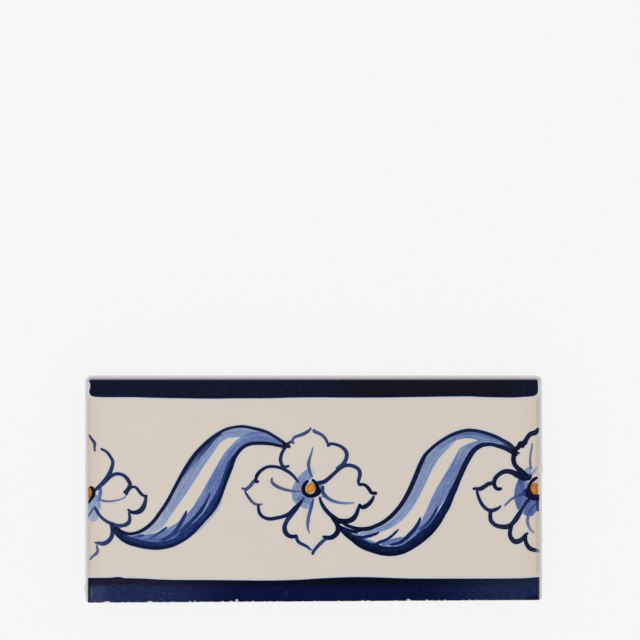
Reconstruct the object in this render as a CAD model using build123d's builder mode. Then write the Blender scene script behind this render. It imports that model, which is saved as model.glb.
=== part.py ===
from build123d import *
import os

# A pressed wall tile of one painted border pattern, sawn in two along that border. Millimetres.
# +X runs along the border, +Y goes across it to the pressed top edge, and the glazed face looks
# up (+Z) from a back that rests on Z = 0.

# Pressing
pressed_side = 150.0  # side of the whole square tile, measured over its parting ridge
thickness = 7.5  # from the back's lands to the glazed face
corner_radius = 2.0  # of the parting ridge, seen from above
rim_flare = 1.3  # how far the ridge stands out beyond the face on every pressed edge
ridge_base = 2.6  # height of the ridge's lower edge over the back
ridge_land = 0.5  # height of the ridge's own narrow upright band
back_draft = 0.6  # how far the wall below the ridge leans in by the time it meets the back
face_round = 0.6  # rounding of the arris that the glaze runs over
back_bevel = 0.35  # bevel where the wall meets the back

# Keys for the mortar: shallow round-ended hollows across the back, with plain lands between
key_width = 5.6
key_pitch = 9.4
key_depth = 0.9
key_lean = 18.0  # degrees by which a hollow's walls lean, so that the tile leaves the die
key_floor_round = 0.25  # where a hollow's wall meets its floor
border_land = 9.0  # plain band round the keyed part of the back

# Saw cut
kept_height = 74.2  # from the pressed top edge to the cut, at the left-hand end
cut_rise = 0.9  # how much nearer to the top edge the cut has come at the right-hand end

top_edge = kept_height / 2
pressed_centre = top_edge - pressed_side / 2
upper_wall = thickness - ridge_base - ridge_land
key_length = pressed_side - 2 * border_land
key_count = int((key_length - key_width) // key_pitch) + 1

back = Plane(origin=(0, pressed_centre, 0))
saw = Plane(
    origin=(-pressed_side / 2, top_edge - kept_height, 0),
    x_dir=(0, 0, 1),
    z_dir=(-cut_rise, pressed_side, 0),
)

with BuildPart() as tile:
    with BuildSketch(back):
        RectangleRounded(pressed_side, pressed_side, corner_radius)
    extrude(amount=thickness)

    # The upper half of the die leans the wall in from the ridge to the face, and the lower half
    # leans it in a little towards the back. The ridge is the band left between the two.
    face = tile.faces().sort_by(Axis.Z)[-1]
    chamfer(face.edges(), length=rim_flare, length2=upper_wall, reference=face)
    base = tile.faces().sort_by(Axis.Z)[0]
    chamfer(base.edges(), length=back_draft, length2=ridge_base, reference=base)

    fillet(tile.faces().sort_by(Axis.Z)[-1].edges(), radius=face_round)
    chamfer(tile.faces().sort_by(Axis.Z)[0].edges(), length=back_bevel)

    # The keys run across the border, so that the saw cuts them open.
    with BuildSketch(back):
        with GridLocations(key_pitch, 0, key_count, 1):
            SlotOverall(key_length, key_width, rotation=90)
    extrude(amount=key_depth, taper=key_lean, mode=Mode.SUBTRACT)
    floors = tile.faces().filter_by(Plane.XY).group_by(Axis.Z)[1]
    fillet(floors.edges(), radius=key_floor_round)

    # The saw keeps the upper part of the pattern.
    split(bisect_by=saw, keep=Keep.TOP)

tile.part.label = "tile"

os.makedirs("parts", exist_ok=True)
export_step(tile.part, "parts/tile.step")
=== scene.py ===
"""A sawn half of a pressed wall tile: its clay body, its glaze and the border painted on it.

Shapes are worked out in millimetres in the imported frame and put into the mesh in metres.
"""

import math
from collections import namedtuple

import bpy
import numpy as np
from bpy.props import FloatProperty, FloatVectorProperty, PointerProperty
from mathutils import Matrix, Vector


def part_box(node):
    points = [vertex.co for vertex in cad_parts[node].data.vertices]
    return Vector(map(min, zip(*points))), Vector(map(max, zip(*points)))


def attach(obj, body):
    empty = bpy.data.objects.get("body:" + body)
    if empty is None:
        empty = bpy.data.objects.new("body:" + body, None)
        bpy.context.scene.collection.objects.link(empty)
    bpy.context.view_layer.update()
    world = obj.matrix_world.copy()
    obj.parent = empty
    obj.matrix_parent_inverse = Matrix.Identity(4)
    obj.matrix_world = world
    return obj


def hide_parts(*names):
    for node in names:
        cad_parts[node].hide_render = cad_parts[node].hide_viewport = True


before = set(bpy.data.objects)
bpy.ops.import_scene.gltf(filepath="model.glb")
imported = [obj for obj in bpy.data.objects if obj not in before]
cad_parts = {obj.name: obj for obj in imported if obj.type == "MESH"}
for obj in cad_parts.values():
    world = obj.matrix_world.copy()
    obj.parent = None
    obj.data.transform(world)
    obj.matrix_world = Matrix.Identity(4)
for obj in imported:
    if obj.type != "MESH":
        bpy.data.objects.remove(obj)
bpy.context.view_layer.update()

bl_info = {
    "name": "Painted Border Tile",
    "version": (1, 0, 0),
    "blender": (4, 5, 0),
    "location": "View3D > Sidebar > Tile",
    "description": "Builds a painted, glazed and sawn wall tile and the studio that shows it",
    "category": "Add Mesh",
}

MM = 0.001
BOX_LOW, BOX_HIGH = (np.array(corner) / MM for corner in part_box("tile"))


def srgb(red, green, blue):
    """A colour given as 0 to 255 display values, as the linear values that shaders take."""
    display = np.array((red, green, blue)) / 255
    linear = np.where(display <= 0.04045, display / 12.92, ((display + 0.055) / 1.055) ** 2.4)
    return tuple(float(v) for v in linear)


def length(name, description, value):
    """A length property whose default is given in millimetres."""
    return FloatProperty(
        name=name, description=description, default=value * MM, min=0.0, precision=5, subtype="DISTANCE",
        unit="LENGTH",
    )


def colour(name, description, red, green, blue):
    """A colour property whose default is given as display values."""
    return FloatVectorProperty(
        name=name, description=description, default=srgb(red, green, blue), size=3, min=0.0, max=1.0,
        subtype="COLOR",
    )


class TileShape(bpy.types.PropertyGroup):
    """Sizes of the fired tile that the outline box does not give."""

    cut_rise: length("Cut rise", "How much nearer to the top the saw cut has come at the right", 0.9)
    corner_radius: length("Corner radius", "Rounding of the parting ridge, seen from above", 2.0)
    glaze_line: length("Glaze line", "How far inside the parting ridge the glaze ends", 1.2)
    shoulder: length("Shoulder", "Width of the rounded arris that the glaze runs over", 0.5)
    glaze_drop: length("Glaze drop", "How far down the wall the glaze runs", 0.95)
    ridge_height: length("Ridge height", "Height of the parting ridge above the back", 3.05)
    ridge_wear: length("Ridge wear", "How deeply the ragged edge of the ridge is broken", 0.30)
    glaze_wave: length("Glaze wave", "Height of the slow waves in the glazed face", 0.02)
    key_width: length("Key width", "Width of a hollow in the back", 5.6)
    key_pitch: length("Key pitch", "Spacing of the hollows in the back", 9.4)
    key_depth: length("Key depth", "Depth of the hollows in the back", 0.9)
    key_end: length("Key end", "Plain band between the ends of the hollows and the top edge", 9.0)


class TileColours(bpy.types.PropertyGroup):
    """The glaze, the paints and the clay."""

    cream: colour("Glaze", "Opaque tin-white glaze under the painting", 210, 200, 189)
    # Painted shade, with the glaze thinning: the glaze darker and browner towards the pressed edges
    warm_glaze_and_edge_shade: colour("Glaze near the ends", "The glaze some way from the pressed edges", 204, 190, 175)
    tan: colour("Glaze at the ends", "The glaze where it thins over the arris", 190, 178, 167)
    film: colour("Film", "The faint haze of cobalt round every stroke", 195, 196, 199)
    pale: colour("Pale wash", "The thinnest wash of cobalt", 149, 163, 188)
    middle: colour("Middle wash", "A full wash of cobalt", 94, 112, 162)
    cobalt: colour("Cobalt wash", "Dense cobalt", 40, 62, 118)
    navy: colour("Navy wash", "Cobalt laid on thickly", 20, 34, 78)
    night: colour("Night wash", "The darkest wash", 11, 20, 50)
    thin_line: colour("Thin line", "A line where the brush is almost dry", 150, 160, 180)
    middle_line: colour("Middle line", "A line of thin paint", 110, 113, 140)
    blue_line: colour("Blue line", "A line of full paint", 50, 56, 88)
    dark_line: colour("Dark line", "A line of thick paint", 30, 35, 62)
    night_line: colour("Night line", "The darkest line", 21, 23, 42)
    black: colour("Ink black", "Paint that has pooled", 10, 13, 25)
    soot: colour("Soot", "The top band where it is nearly neutral", 20, 20, 30)
    tarnish: colour("Tarnish", "The lower band at its left-hand end", 31, 29, 46)
    slate: colour("Slate", "The lower band at its right-hand end", 29, 36, 57)
    band_blue: colour("Band blue", "The lower band near the cut", 9, 18, 56)
    dull_blue: colour("Dull blue", "The lower band near the cut, at its ends", 30, 41, 78)
    orange: colour("Orange", "Eyes of the flowers", 214, 137, 48)
    brown: colour("Burnt orange", "Eyes of the flowers where the orange is thin", 166, 104, 40)
    # Partly painted highlight: the pale rim of an orange eye, strongest on its lower left
    eye_rim_highlight: colour("Straw", "The soft rim of an orange eye", 238, 214, 172)
    clay: colour("Clay", "Bare fired clay", 190, 187, 184)
    # Painted shade with a glaze stain: bare clay beside the glaze, and darker still along the top edge
    stain_shade_clay: colour("Stained clay", "Bare clay beside the glaze", 158, 154, 152)
    # Painted light: bare clay made lighter where the ridge bulges
    painted_light_clay: colour("Powdery clay", "Clay where the ridge bulges", 212, 209, 207)
    chip: colour("Chipped clay", "Fresh clay in the chips along the cut", 213, 210, 217)
    # Painted shade of small pits in the clay
    pit_shade: colour("Pitted clay", "Pits in the bare clay", 165, 160, 156)


class TileStudio(bpy.types.PropertyGroup):
    """Where the camera stands, and how brightly the tile is lit."""

    camera_height: length("Camera height", "Height of the camera over the glazed face", 900.0)
    view_width: length("View width", "Width of the picture at the glazed face", 208.714)
    camera_x: length("Camera X", "The camera's place along the border", 2.066)
    camera_y: length("Camera Y", "The camera's place across the border", 55.162)
    sky: FloatProperty(name="Sky", description="Strength of the surrounding light", default=1.13, min=0.0)
    lamp: FloatProperty(
        name="Lamp", description="Power of the soft lamps, together", default=2.2, min=0.0, subtype="POWER",
        unit="POWER",
    )
    paper: colour("Paper", "The pale ground that the tile lies on", 246, 246, 247)


# The painting
#
# It was laid on with a loaded brush, so it is kept as brush strokes. A stroke is its layer, the ink
# at its start and at its end (0 bare glaze, 1 black), and its points: x, y and the brush's width.
# A patch is its layer, its ink, the brush's direction in degrees, and the points round its outline.
# All are in millimetres on the face and were set from the photo. Pale, mid and deep are
# washes, orange is the eyes' paint, a fan is a dark mark within a wash, a lift is a place with less
# paint than what lies round it, and a line or an over is drawn on top: over where two lines meet.

LEFT_FLOWER = (
    ("line", 0.78, 0.66, (-73.2, 17.6, 0.4), (-72.3, 16.2, 0.7), (-71.4, 14.9, 0.9), (-71.5, 13.5, 0.6),
     (-71.3, 12.5, 0.5)),
    ("line", 0.8, 0.78, (-69.2, 13.1, 0.6), (-67.6, 12.2, 0.7), (-66.3, 10.6, 0.8), (-65.5, 8.8, 0.9),
     (-66, 6.5, 1.1), (-67, 4.4, 1.2), (-68.6, 2.2, 1.2), (-70.2, 0.6, 1.1), (-71.4, -0.4, 0.8)),
    ("over", 0.76, 0.84, (-70.6, 0.3, 1), (-68.6, 2, 1.2), (-67, 3.6, 1.2), (-65.4, 4.7, 1),
     (-63.8, 5, 0.9), (-62.2, 4.6, 0.9), (-60.9, 3.5, 1), (-60, 2, 1.1), (-59.8, 1, 1)),
    ("line", 0.86, 0.88, (-60.6, -0.2, 0.8), (-60, 0.2, 0.7), (-59.3, 0.6, 0.6), (-58.6, 0.75, 0.7),
     (-57.8, 0.4, 0.7), (-57, -0.6, 0.8), (-56.2, -1.6, 0.8), (-55.3, -2.2, 0.7), (-54.5, -2.2, 0.6)),
    ("over", 0.87, 0.86, (-61.6, -1, 0.9), (-61.1, -0.8, 1.2), (-60.5, -0.1, 1.3), (-60, 0.7, 1)),
    ("over", 0.77, 0.9, (-54.7, -2.5, 0.8), (-54.9, -4, 1), (-55.5, -5.8, 1.4), (-56.6, -7.1, 1.5),
     (-58, -7.6, 1.2), (-59.4, -7.5, 0.9), (-60.5, -6.7, 0.5)),
    ("line", 0.76, 0.76, (-60.2, -7.6, 0.6), (-60, -9, 0.8), (-60.1, -10.4, 1.1), (-60.9, -11.4, 1.2),
     (-62.5, -11.9, 1), (-64.3, -11.8, 0.9), (-65.6, -11.3, 0.9), (-67.2, -10.7, 0.9), (-68.8, -9.6, 0.8),
     (-70, -8.3, 0.8), (-70.9, -6.8, 0.8), (-71.3, -5.8, 0.5)),
    ("line", 0.68, 0.58, (-71.3, -5.7, 0.3), (-72.2, -6.8, 0.5), (-73, -8, 0.5), (-73.5, -8.8, 0.4)),
    ("over", 0.84, 0.68, (-66, -11.6, 1), (-65.6, -12.8, 1.3), (-65.6, -14.2, 1.2), (-65.8, -15.3, 1.2),
     (-66.5, -16.5, 1.2), (-67.6, -17.4, 1.3), (-68.8, -17.8, 1.2), (-70, -17.6, 0.9), (-70.8, -17.5, 0.6),
     (-71.3, -17.4, 0.4)),
    ("line", 0.62, 0.56, (-70.7, -18.2, 0.4), (-70.6, -19.2, 0.6), (-70.4, -20, 0.7), (-70.7, -20.8, 0.9),
     (-71.4, -21.4, 0.8), (-72, -21.9, 0.6), (-72.5, -22.4, 0.6), (-72.9, -22.9, 0.5)),
    ("line", 0.58, 0.46, (-69.9, -3.2, 0.4), (-68.6, -3.8, 0.55), (-67, -4, 0.5), (-65, -3.8, 0.42),
     (-63.2, -3.4, 0.36), (-61.8, -2.8, 0.34), (-61.2, -2.2, 0.25)),
    ("over", 0.99, 0.97, (-72.8, 0.7, 0.5), (-72.2, 0.3, 0.9), (-71.75, -0.7, 1), (-71.8, -1.8, 1.1),
     (-72.4, -2.9, 0.95), (-73, -3.8, 0.75), (-73.35, -4.5, 0.4)),
    ("mid", 0.56, 0.5, (-69.6, 0.4, 1), (-69.55, -0.8, 1.2), (-69.75, -2.2, 1.2), (-70.1, -3.6, 1)),
    ("pale", 0.4, 0.29, (-71.2, -2.8, 2.3), (-71.35, -4, 4.1), (-71.55, -5.6, 4.3), (-71.85, -7.4, 3.7),
     (-71.9, -9, 3.4)),
    ("over", 0.78, 0.74, (-61.3, -1.3, 0.7), (-61, -1.9, 0.4)),
)

LEFT_SCROLL = (
    ("line", 0.93, 0.88, (-64.6, -12.5, 0.8), (-62.6, -13.9, 0.9), (-60.2, -14.6, 0.9), (-57.6, -14.2, 0.9),
     (-55, -12.9, 1), (-52.4, -10.7, 1), (-50, -7.5, 1), (-47.6, -3.9, 1), (-45.5, 0, 1), (-43.3, 4.1, 1.1),
     (-40.9, 8.1, 1.2), (-38.2, 11.8, 1.2), (-35, 15.1, 1.1), (-31.8, 17.7, 0.9), (-28.6, 19.5, 0.75),
     (-25.4, 20.3, 0.7), (-22.6, 20.4, 0.8), (-20, 19.9, 0.8), (-17.5, 19.3, 0.9), (-15, 18.5, 0.8),
     (-13, 17.3, 0.85), (-11, 16, 0.9), (-9.5, 15, 0.8)),
    ("line", 0.93, 0.92, (-9.3, 14, 0.8), (-11, 14.1, 0.8), (-13, 14.6, 0.9), (-15, 14.9, 1),
     (-17.5, 15, 1), (-20, 14.9, 1), (-22, 14.3, 1), (-23.5, 13.3, 1), (-25, 11.6, 1.1), (-26, 9.8, 1.1),
     (-27, 7, 1.2), (-28, 4.4, 1.2), (-29.02, 1.5, 1), (-29.55, -0.06, 0.9), (-30.5, -2.67, 0.9),
     (-31.82, -5.39, 0.8), (-33.58, -8.04, 0.5)),
    ("deep", 0.88, 0.79, (-65.2, -13.2, 1), (-63.2, -15, 2), (-60.6, -16.6, 2.5), (-57.5, -17.6, 2.4),
     (-54, -18.3, 2.4), (-50.5, -18.5, 2.3), (-47, -17.9, 2.3), (-43.8, -16.5, 2.4), (-40.6, -14.3, 2.4),
     (-37.6, -11.3, 2.3), (-36.4, -10, 2.2), (-34.25, -7.6, 2.4), (-32.55, -5, 2.75), (-31.15, -2.4, 2.4),
     (-30.1, 0.1, 2.15), (-29.5, 1.6, 2), (-28.85, 3.8, 1.8), (-28, 6.5, 1.6), (-27, 9.2, 1.2),
     (-25.7, 11.2, 0.5), (-24.8, 12.6, 0.2)),
    ("fan", 0.8, 0.56, (-55.4, -15, 0.5), (-56.8, -15.25, 0.9), (-58.5, -15.6, 0.6), (-60, -15.9, 0.8)),
    ("fan", 0.86, 0.54, (-48, -12.5, 0.5), (-49.2, -13.4, 0.7), (-50.8, -14.6, 0.8), (-52.4, -15.6, 0.9),
     (-54.2, -16.4, 0.9), (-56.2, -16.7, 0.6)),
    ("fan", 0.82, 0.76, (-41.5, -7.3, 0.6), (-42.2, -9, 1.1), (-43.3, -10.9, 1.2), (-44.5, -12.8, 1.1),
     (-45.8, -14.4, 1.2), (-47.6, -15.8, 1.2), (-49.5, -16.7, 1)),
    ("fan", 0.86, 0.76, (-33.9, -1.3, 0.4), (-34.3, -2.5, 0.6), (-35.5, -5, 1), (-37.1, -7.5, 1.35),
     (-39.3, -10, 1.4), (-41.3, -12, 1.5), (-43.2, -13.8, 1.5), (-45.6, -15.2, 1.1)),
    ("lift", 0.4, 0.34, (-39.7, -11.2, 0.2), (-38.4, -10.1, 0.32), (-37.2, -8.8, 0.35), (-36.1, -7.5, 0.35),
     (-34.8, -5.1, 0.38), (-34, -3.4, 0.3)),
    ("lift", 0.5, 0.5, (-46.5, -16, 0.2), (-45, -15.2, 0.35), (-43.6, -13.7, 0.25)),
    ("pale", 0.37, 0.4, (-49.4, -10.1, 1.4), (-47.9, -8, 2.8), (-45.2, -4, 3), (-42.7, 0, 3.5),
     (-40.4, 4, 4), (-37.8, 8, 3.8), (-34, 12.7, 3), (-31.3, 16, 2.4), (-28.3, 17.9, 2.7), (-25, 18.4, 3),
     (-22, 18.3, 3), (-19, 18, 2.4)),
    ("mid", 0.56, 0.8, (-42.4, 4, 0.4), (-40.4, 7.2, 1), (-38.4, 9.9, 1.6), (-36.2, 12.35, 1.9),
     (-34.1, 14.75, 1.6), (-32.2, 16.65, 1.1), (-30.2, 17.9, 0.6)),
    ("mid", 0.6, 0.6, (-61, -15.8, 1.2), (-57, -16.4, 1.6), (-53, -16.9, 1.8), (-49, -16.6, 1.8),
     (-45, -15.2, 1.8), (-41, -12.6, 1.6), (-37.6, -9.6, 1.4), (-35, -6.4, 1)),
    ("mid", 0.47, 0.49, (-59, -15.5, 0.7), (-55, -15.6, 1.5), (-51, -15.2, 2.2), (-46.3, -13.6, 2.8),
     (-42.1, -11.3, 3.4), (-38.5, -8.2, 4.3), (-35.9, -5, 5), (-33.1, 0, 4.9), (-30.7, 5, 4.2),
     (-28, 10, 3.8), (-25.3, 13.4, 3.4), (-22, 16.2, 3.2), (-18.5, 17.1, 3.4), (-15, 16.6, 2.6),
     (-12.6, 15.6, 1.7), (-10.4, 14.6, 0.7)),
    ("pale", 0.27, 0.22, (-43, -17, 0.6), (-40.3, -15, 1.4), (-37.3, -12.5, 1.7), (-34.8, -10, 1.6),
     (-32.5, -7.5, 1.5), (-30.9, -5.1, 1.2), (-30, -3.2, 0.6)),
    ("fan", 0.48, 0.86, (-40.4, 7.2, 0.15), (-38.9, 9.1, 0.3), (-37.2, 11.2, 0.35), (-35.4, 13.3, 0.25)),
    ("fan", 0.56, 0.5, (-42, 4.2, 0.15), (-41, 6, 0.3), (-39.6, 8.2, 0.3)),
    ("fan", 0.68, 0.62, (-39.4, 6.7, 0.12), (-38, 8.7, 0.2), (-36.6, 10.8, 0.2)),
    ("lift", 0.42, 0.4, (-27.4, 12.8, 0.5), (-25.6, 15, 0.9), (-23.6, 16.5, 0.8), (-21.6, 17.3, 0.4)),
    ("line", 0.93, 0.9, (-63.56, -15.48, 0.5), (-60.95, -17.37, 0.8), (-57.7, -18.38, 0.9),
     (-54.1, -19.09, 0.9), (-50.45, -19.25, 0.9), (-46.8, -18.62, 0.85), (-43.4, -17.2, 0.8),
     (-40.1, -14.9, 0.8), (-37.07, -11.83, 0.8), (-35.4, -10, 0.7), (-33.58, -8.04, 0.5)),
    ("pale", 0.25, 0.32, (-57.6, -14.9, 0.7), (-55.2, -14.35, 1.3), (-52.8, -13.2, 2.3),
     (-50.6, -11.5, 3.1), (-48.8, -9.4, 3)),
)

CENTRE_FLOWER = (
    ("over", 0.94, 0.86, (-9.6, 14.8, 1), (-8.8, 14.3, 1.4), (-8, 13.9, 1)),
    ("line", 0.9, 0.68, (-8.9, 14.3, 0.9), (-8.2, 15, 0.8), (-7.3, 15.6, 0.6)),
    ("line", 0.9, 0.76, (-8.9, 14, 1), (-9.8, 12.8, 0.8), (-10.5, 11.3, 0.9), (-10.8, 9.6, 1),
     (-10.4, 8, 0.9), (-9.7, 7.2, 1), (-8.2, 7.5, 0.6)),
    ("line", 0.64, 0.7, (-6.6, 15, 0.6), (-6.9, 15.9, 0.6), (-6.4, 16.8, 0.7), (-5.3, 17.3, 0.8),
     (-3.8, 17.8, 0.9), (-2.2, 18.6, 0.9), (-1.2, 19.4, 0.6), (-0.9, 20, 0.3)),
    ("line", 0.66, 0.72, (0, 19.4, 0.5), (0.1, 18.9, 0.9), (1.2, 18.4, 0.9), (2.6, 17.7, 0.8),
     (3.8, 16.5, 0.8), (4.4, 15.3, 0.7), (4.8, 14.4, 0.7)),
    ("line", 0.8, 0.74, (4.7, 14.2, 0.8), (5.6, 14.8, 0.8), (7.4, 14.5, 0.8), (9.2, 13.7, 0.9),
     (10.5, 12.4, 1.1), (10.8, 11, 1.1), (10.4, 9.4, 1.1), (9.4, 8, 1.1), (7.9, 6.9, 1)),
    ("line", 0.86, 0.78, (1.6, 2, 1.2), (3.4, 2.4, 1.2), (5.2, 3.75, 1.1), (6.8, 5.2, 1), (8.2, 6.5, 1),
     (9.8, 7.5, 1), (11.5, 7.8, 1), (13.2, 7.4, 1), (14.6, 6.5, 1), (15.1, 5.2, 1.1), (14.9, 3.8, 1),
     (14.6, 2.6, 0.9), (14.7, 1.9, 0.8), (15.1, 1.4, 0.8)),
    ("over", 0.92, 0.94, (15, 1.5, 0.9), (16.3, 1.5, 0.8), (17.4, 0.8, 0.9), (18.2, -0.2, 1),
     (18.9, -1.2, 0.9), (20.2, -1.35, 1)),
    ("line", 0.88, 0.98, (19.6, -2.4, 0.6), (19, -3.6, 1), (17.9, -4.9, 1.2), (16.6, -5.75, 1.3),
     (15.6, -5.8, 1.1), (15, -5.1, 0.7)),
    ("over", 0.9, 0.96, (15, -5.2, 0.8), (14.5, -6.6, 1), (13.9, -8.2, 1.2), (12.9, -9.6, 1.5),
     (11.4, -10.35, 1.5), (9.6, -10.4, 1.3), (8, -10.1, 1.2)),
    ("line", 0.88, 0.93, (2, -2.8, 0.6), (2.5, -4.4, 0.9), (3.6, -6.3, 1.1), (5.1, -8, 1.2),
     (6.8, -9.4, 1.3), (8.6, -10.5, 1.3), (10.6, -10.8, 1.2)),
    ("over", 0.96, 0.92, (6.2, -9.2, 1.3), (7.3, -10.8, 1.3), (8, -12.4, 1.5), (7.8, -13.9, 1.5),
     (6.8, -15.2, 1.4), (5.4, -15.85, 1.3), (4.2, -15.8, 1.2), (3.2, -15.5, 0.7)),
    ("line", 0.7, 0.8, (4.2, -16, 0.9), (3.2, -16.8, 1), (2, -17.9, 1), (0.8, -19.2, 0.9),
     (0.1, -20.1, 0.8), (-0.3, -21, 0.8)),
    ("line", 0.7, 0.93, (-3.3, -3, 0.7), (-4.55, -4.75, 1.1), (-6.3, -7, 1.4), (-7.8, -9, 1.3),
     (-8.9, -10.6, 1.2), (-9.5, -12.4, 1.3), (-9.2, -14, 1.4), (-8.2, -15.15, 1.2), (-6.8, -15.5, 1.1),
     (-5.7, -15.2, 0.7)),
    ("line", 0.84, 0.8, (-5.6, -15.3, 0.8), (-5.4, -16.5, 0.9), (-4.6, -17.5, 0.9), (-3.2, -18.2, 0.8),
     (-1.9, -18.9, 0.7), (-1.1, -19.8, 0.4)),
    ("over", 0.92, 0.86, (-4, -4.1, 0.7), (-5.8, -6, 1.3), (-7.6, -7.8, 1.2), (-9.6, -8.8, 1),
     (-12, -9.4, 1), (-14.4, -9.7, 1), (-16.4, -9.1, 0.9), (-17.6, -7.9, 0.9), (-18, -6.4, 0.8),
     (-18, -5.2, 0.7)),
    ("line", 0.77, 0.6, (-22.4, -0.9, 0.4), (-21.4, -2.4, 0.7), (-20.2, -4, 0.7), (-19, -4.9, 0.7),
     (-17.8, -5, 0.5), (-16.8, -4.9, 0.3)),
    ("line", 0.7, 0.7, (-23.3, 0.3, 0.5), (-22.5, 0, 0.6), (-21.4, 0.4, 0.9), (-20.3, 1.5, 1),
     (-19.6, 2.5, 0.9), (-19.2, 2.9, 0.8)),
    ("over", 0.94, 0.82, (-18.1, 2.5, 0.6), (-18.7, 2.4, 0.9), (-18.9, 3.2, 0.9), (-18.3, 4.8, 1),
     (-17, 6.2, 0.9), (-15.2, 7.2, 0.8), (-13.4, 7.4, 0.8), (-11.4, 7.1, 0.8), (-9.6, 6.4, 0.9),
     (-8, 5.5, 0.9), (-6.6, 4.3, 0.8), (-5.6, 3.1, 0.7), (-5, 2.3, 0.6)),
    ("line", 0.64, 0.6, (-13.6, 3.6, 0.4), (-13.7, 2.6, 0.7), (-13, 1.6, 0.9), (-11.6, 0.7, 0.9),
     (-9.8, 0, 0.8), (-7.6, -0.5, 0.7), (-5.6, -0.7, 0.5), (-4.2, -0.7, 0.4)),
    ("line", 0.56, 0.7, (-0.3, 13.5, 0.2), (-0.7, 11.8, 0.4), (-1.3, 10, 0.7), (-1.65, 8.3, 0.9),
     (-1.5, 6.6, 0.8), (-1, 5, 0.6), (-0.4, 3.9, 0.3)),
    ("line", 0.7, 0.54, (-0.2, -3.4, 0.5), (-0.5, -4.8, 0.8), (-1.05, -6.8, 0.9), (-1.6, -8.8, 0.9),
     (-1.9, -10.8, 0.9), (-1.9, -12.6, 0.6), (-1.4, -14.3, 0.2)),
    ("line", 0.78, 0.38, (3, 0.7, 0.8), (2.9, -0.9, 1.1), (3.8, -2.2, 1), (5.2, -3.3, 0.9), (7, -4.1, 0.8),
     (9.2, -4.5, 0.6), (11.4, -4.6, 0.6), (13.4, -4.4, 0.2)),
    ("over", 0.98, 0.98, (-1.95, 2.65, 0.7), (-2.95, 1.6, 1), (-3.4, 0.1, 1.1), (-2.85, -1.4, 1.15),
     (-1.4, -2.2, 1.1), (0.2, -2, 1.2), (1.35, -0.9, 1.8), (1.25, 0.6, 1.2), (0.65, 2.05, 1),
     (-0.3, 2.95, 0.7)),
    ("mid", 0.47, 0.45, (-5, -3.2, 1.4), (-3.6, -3.2, 2.2), (-2.2, -3.6, 1.9), (-1.4, -4.6, 1)),
    ("mid", 0.46, 0.5, (2.2, 1.3, 0.7), (2.45, 0.4, 0.8), (2.3, -0.5, 0.6)),
    ("pale", 0.22, 0.2, (1.6, -2.4, 1), (2.4, -1.6, 0.9)),
    ("lift", 0.06, 0.05, (-1.75, 1.9, 0.5), (-1.2, 2.6, 0.8), (-0.85, 3.1, 0.5)),
)

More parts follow.
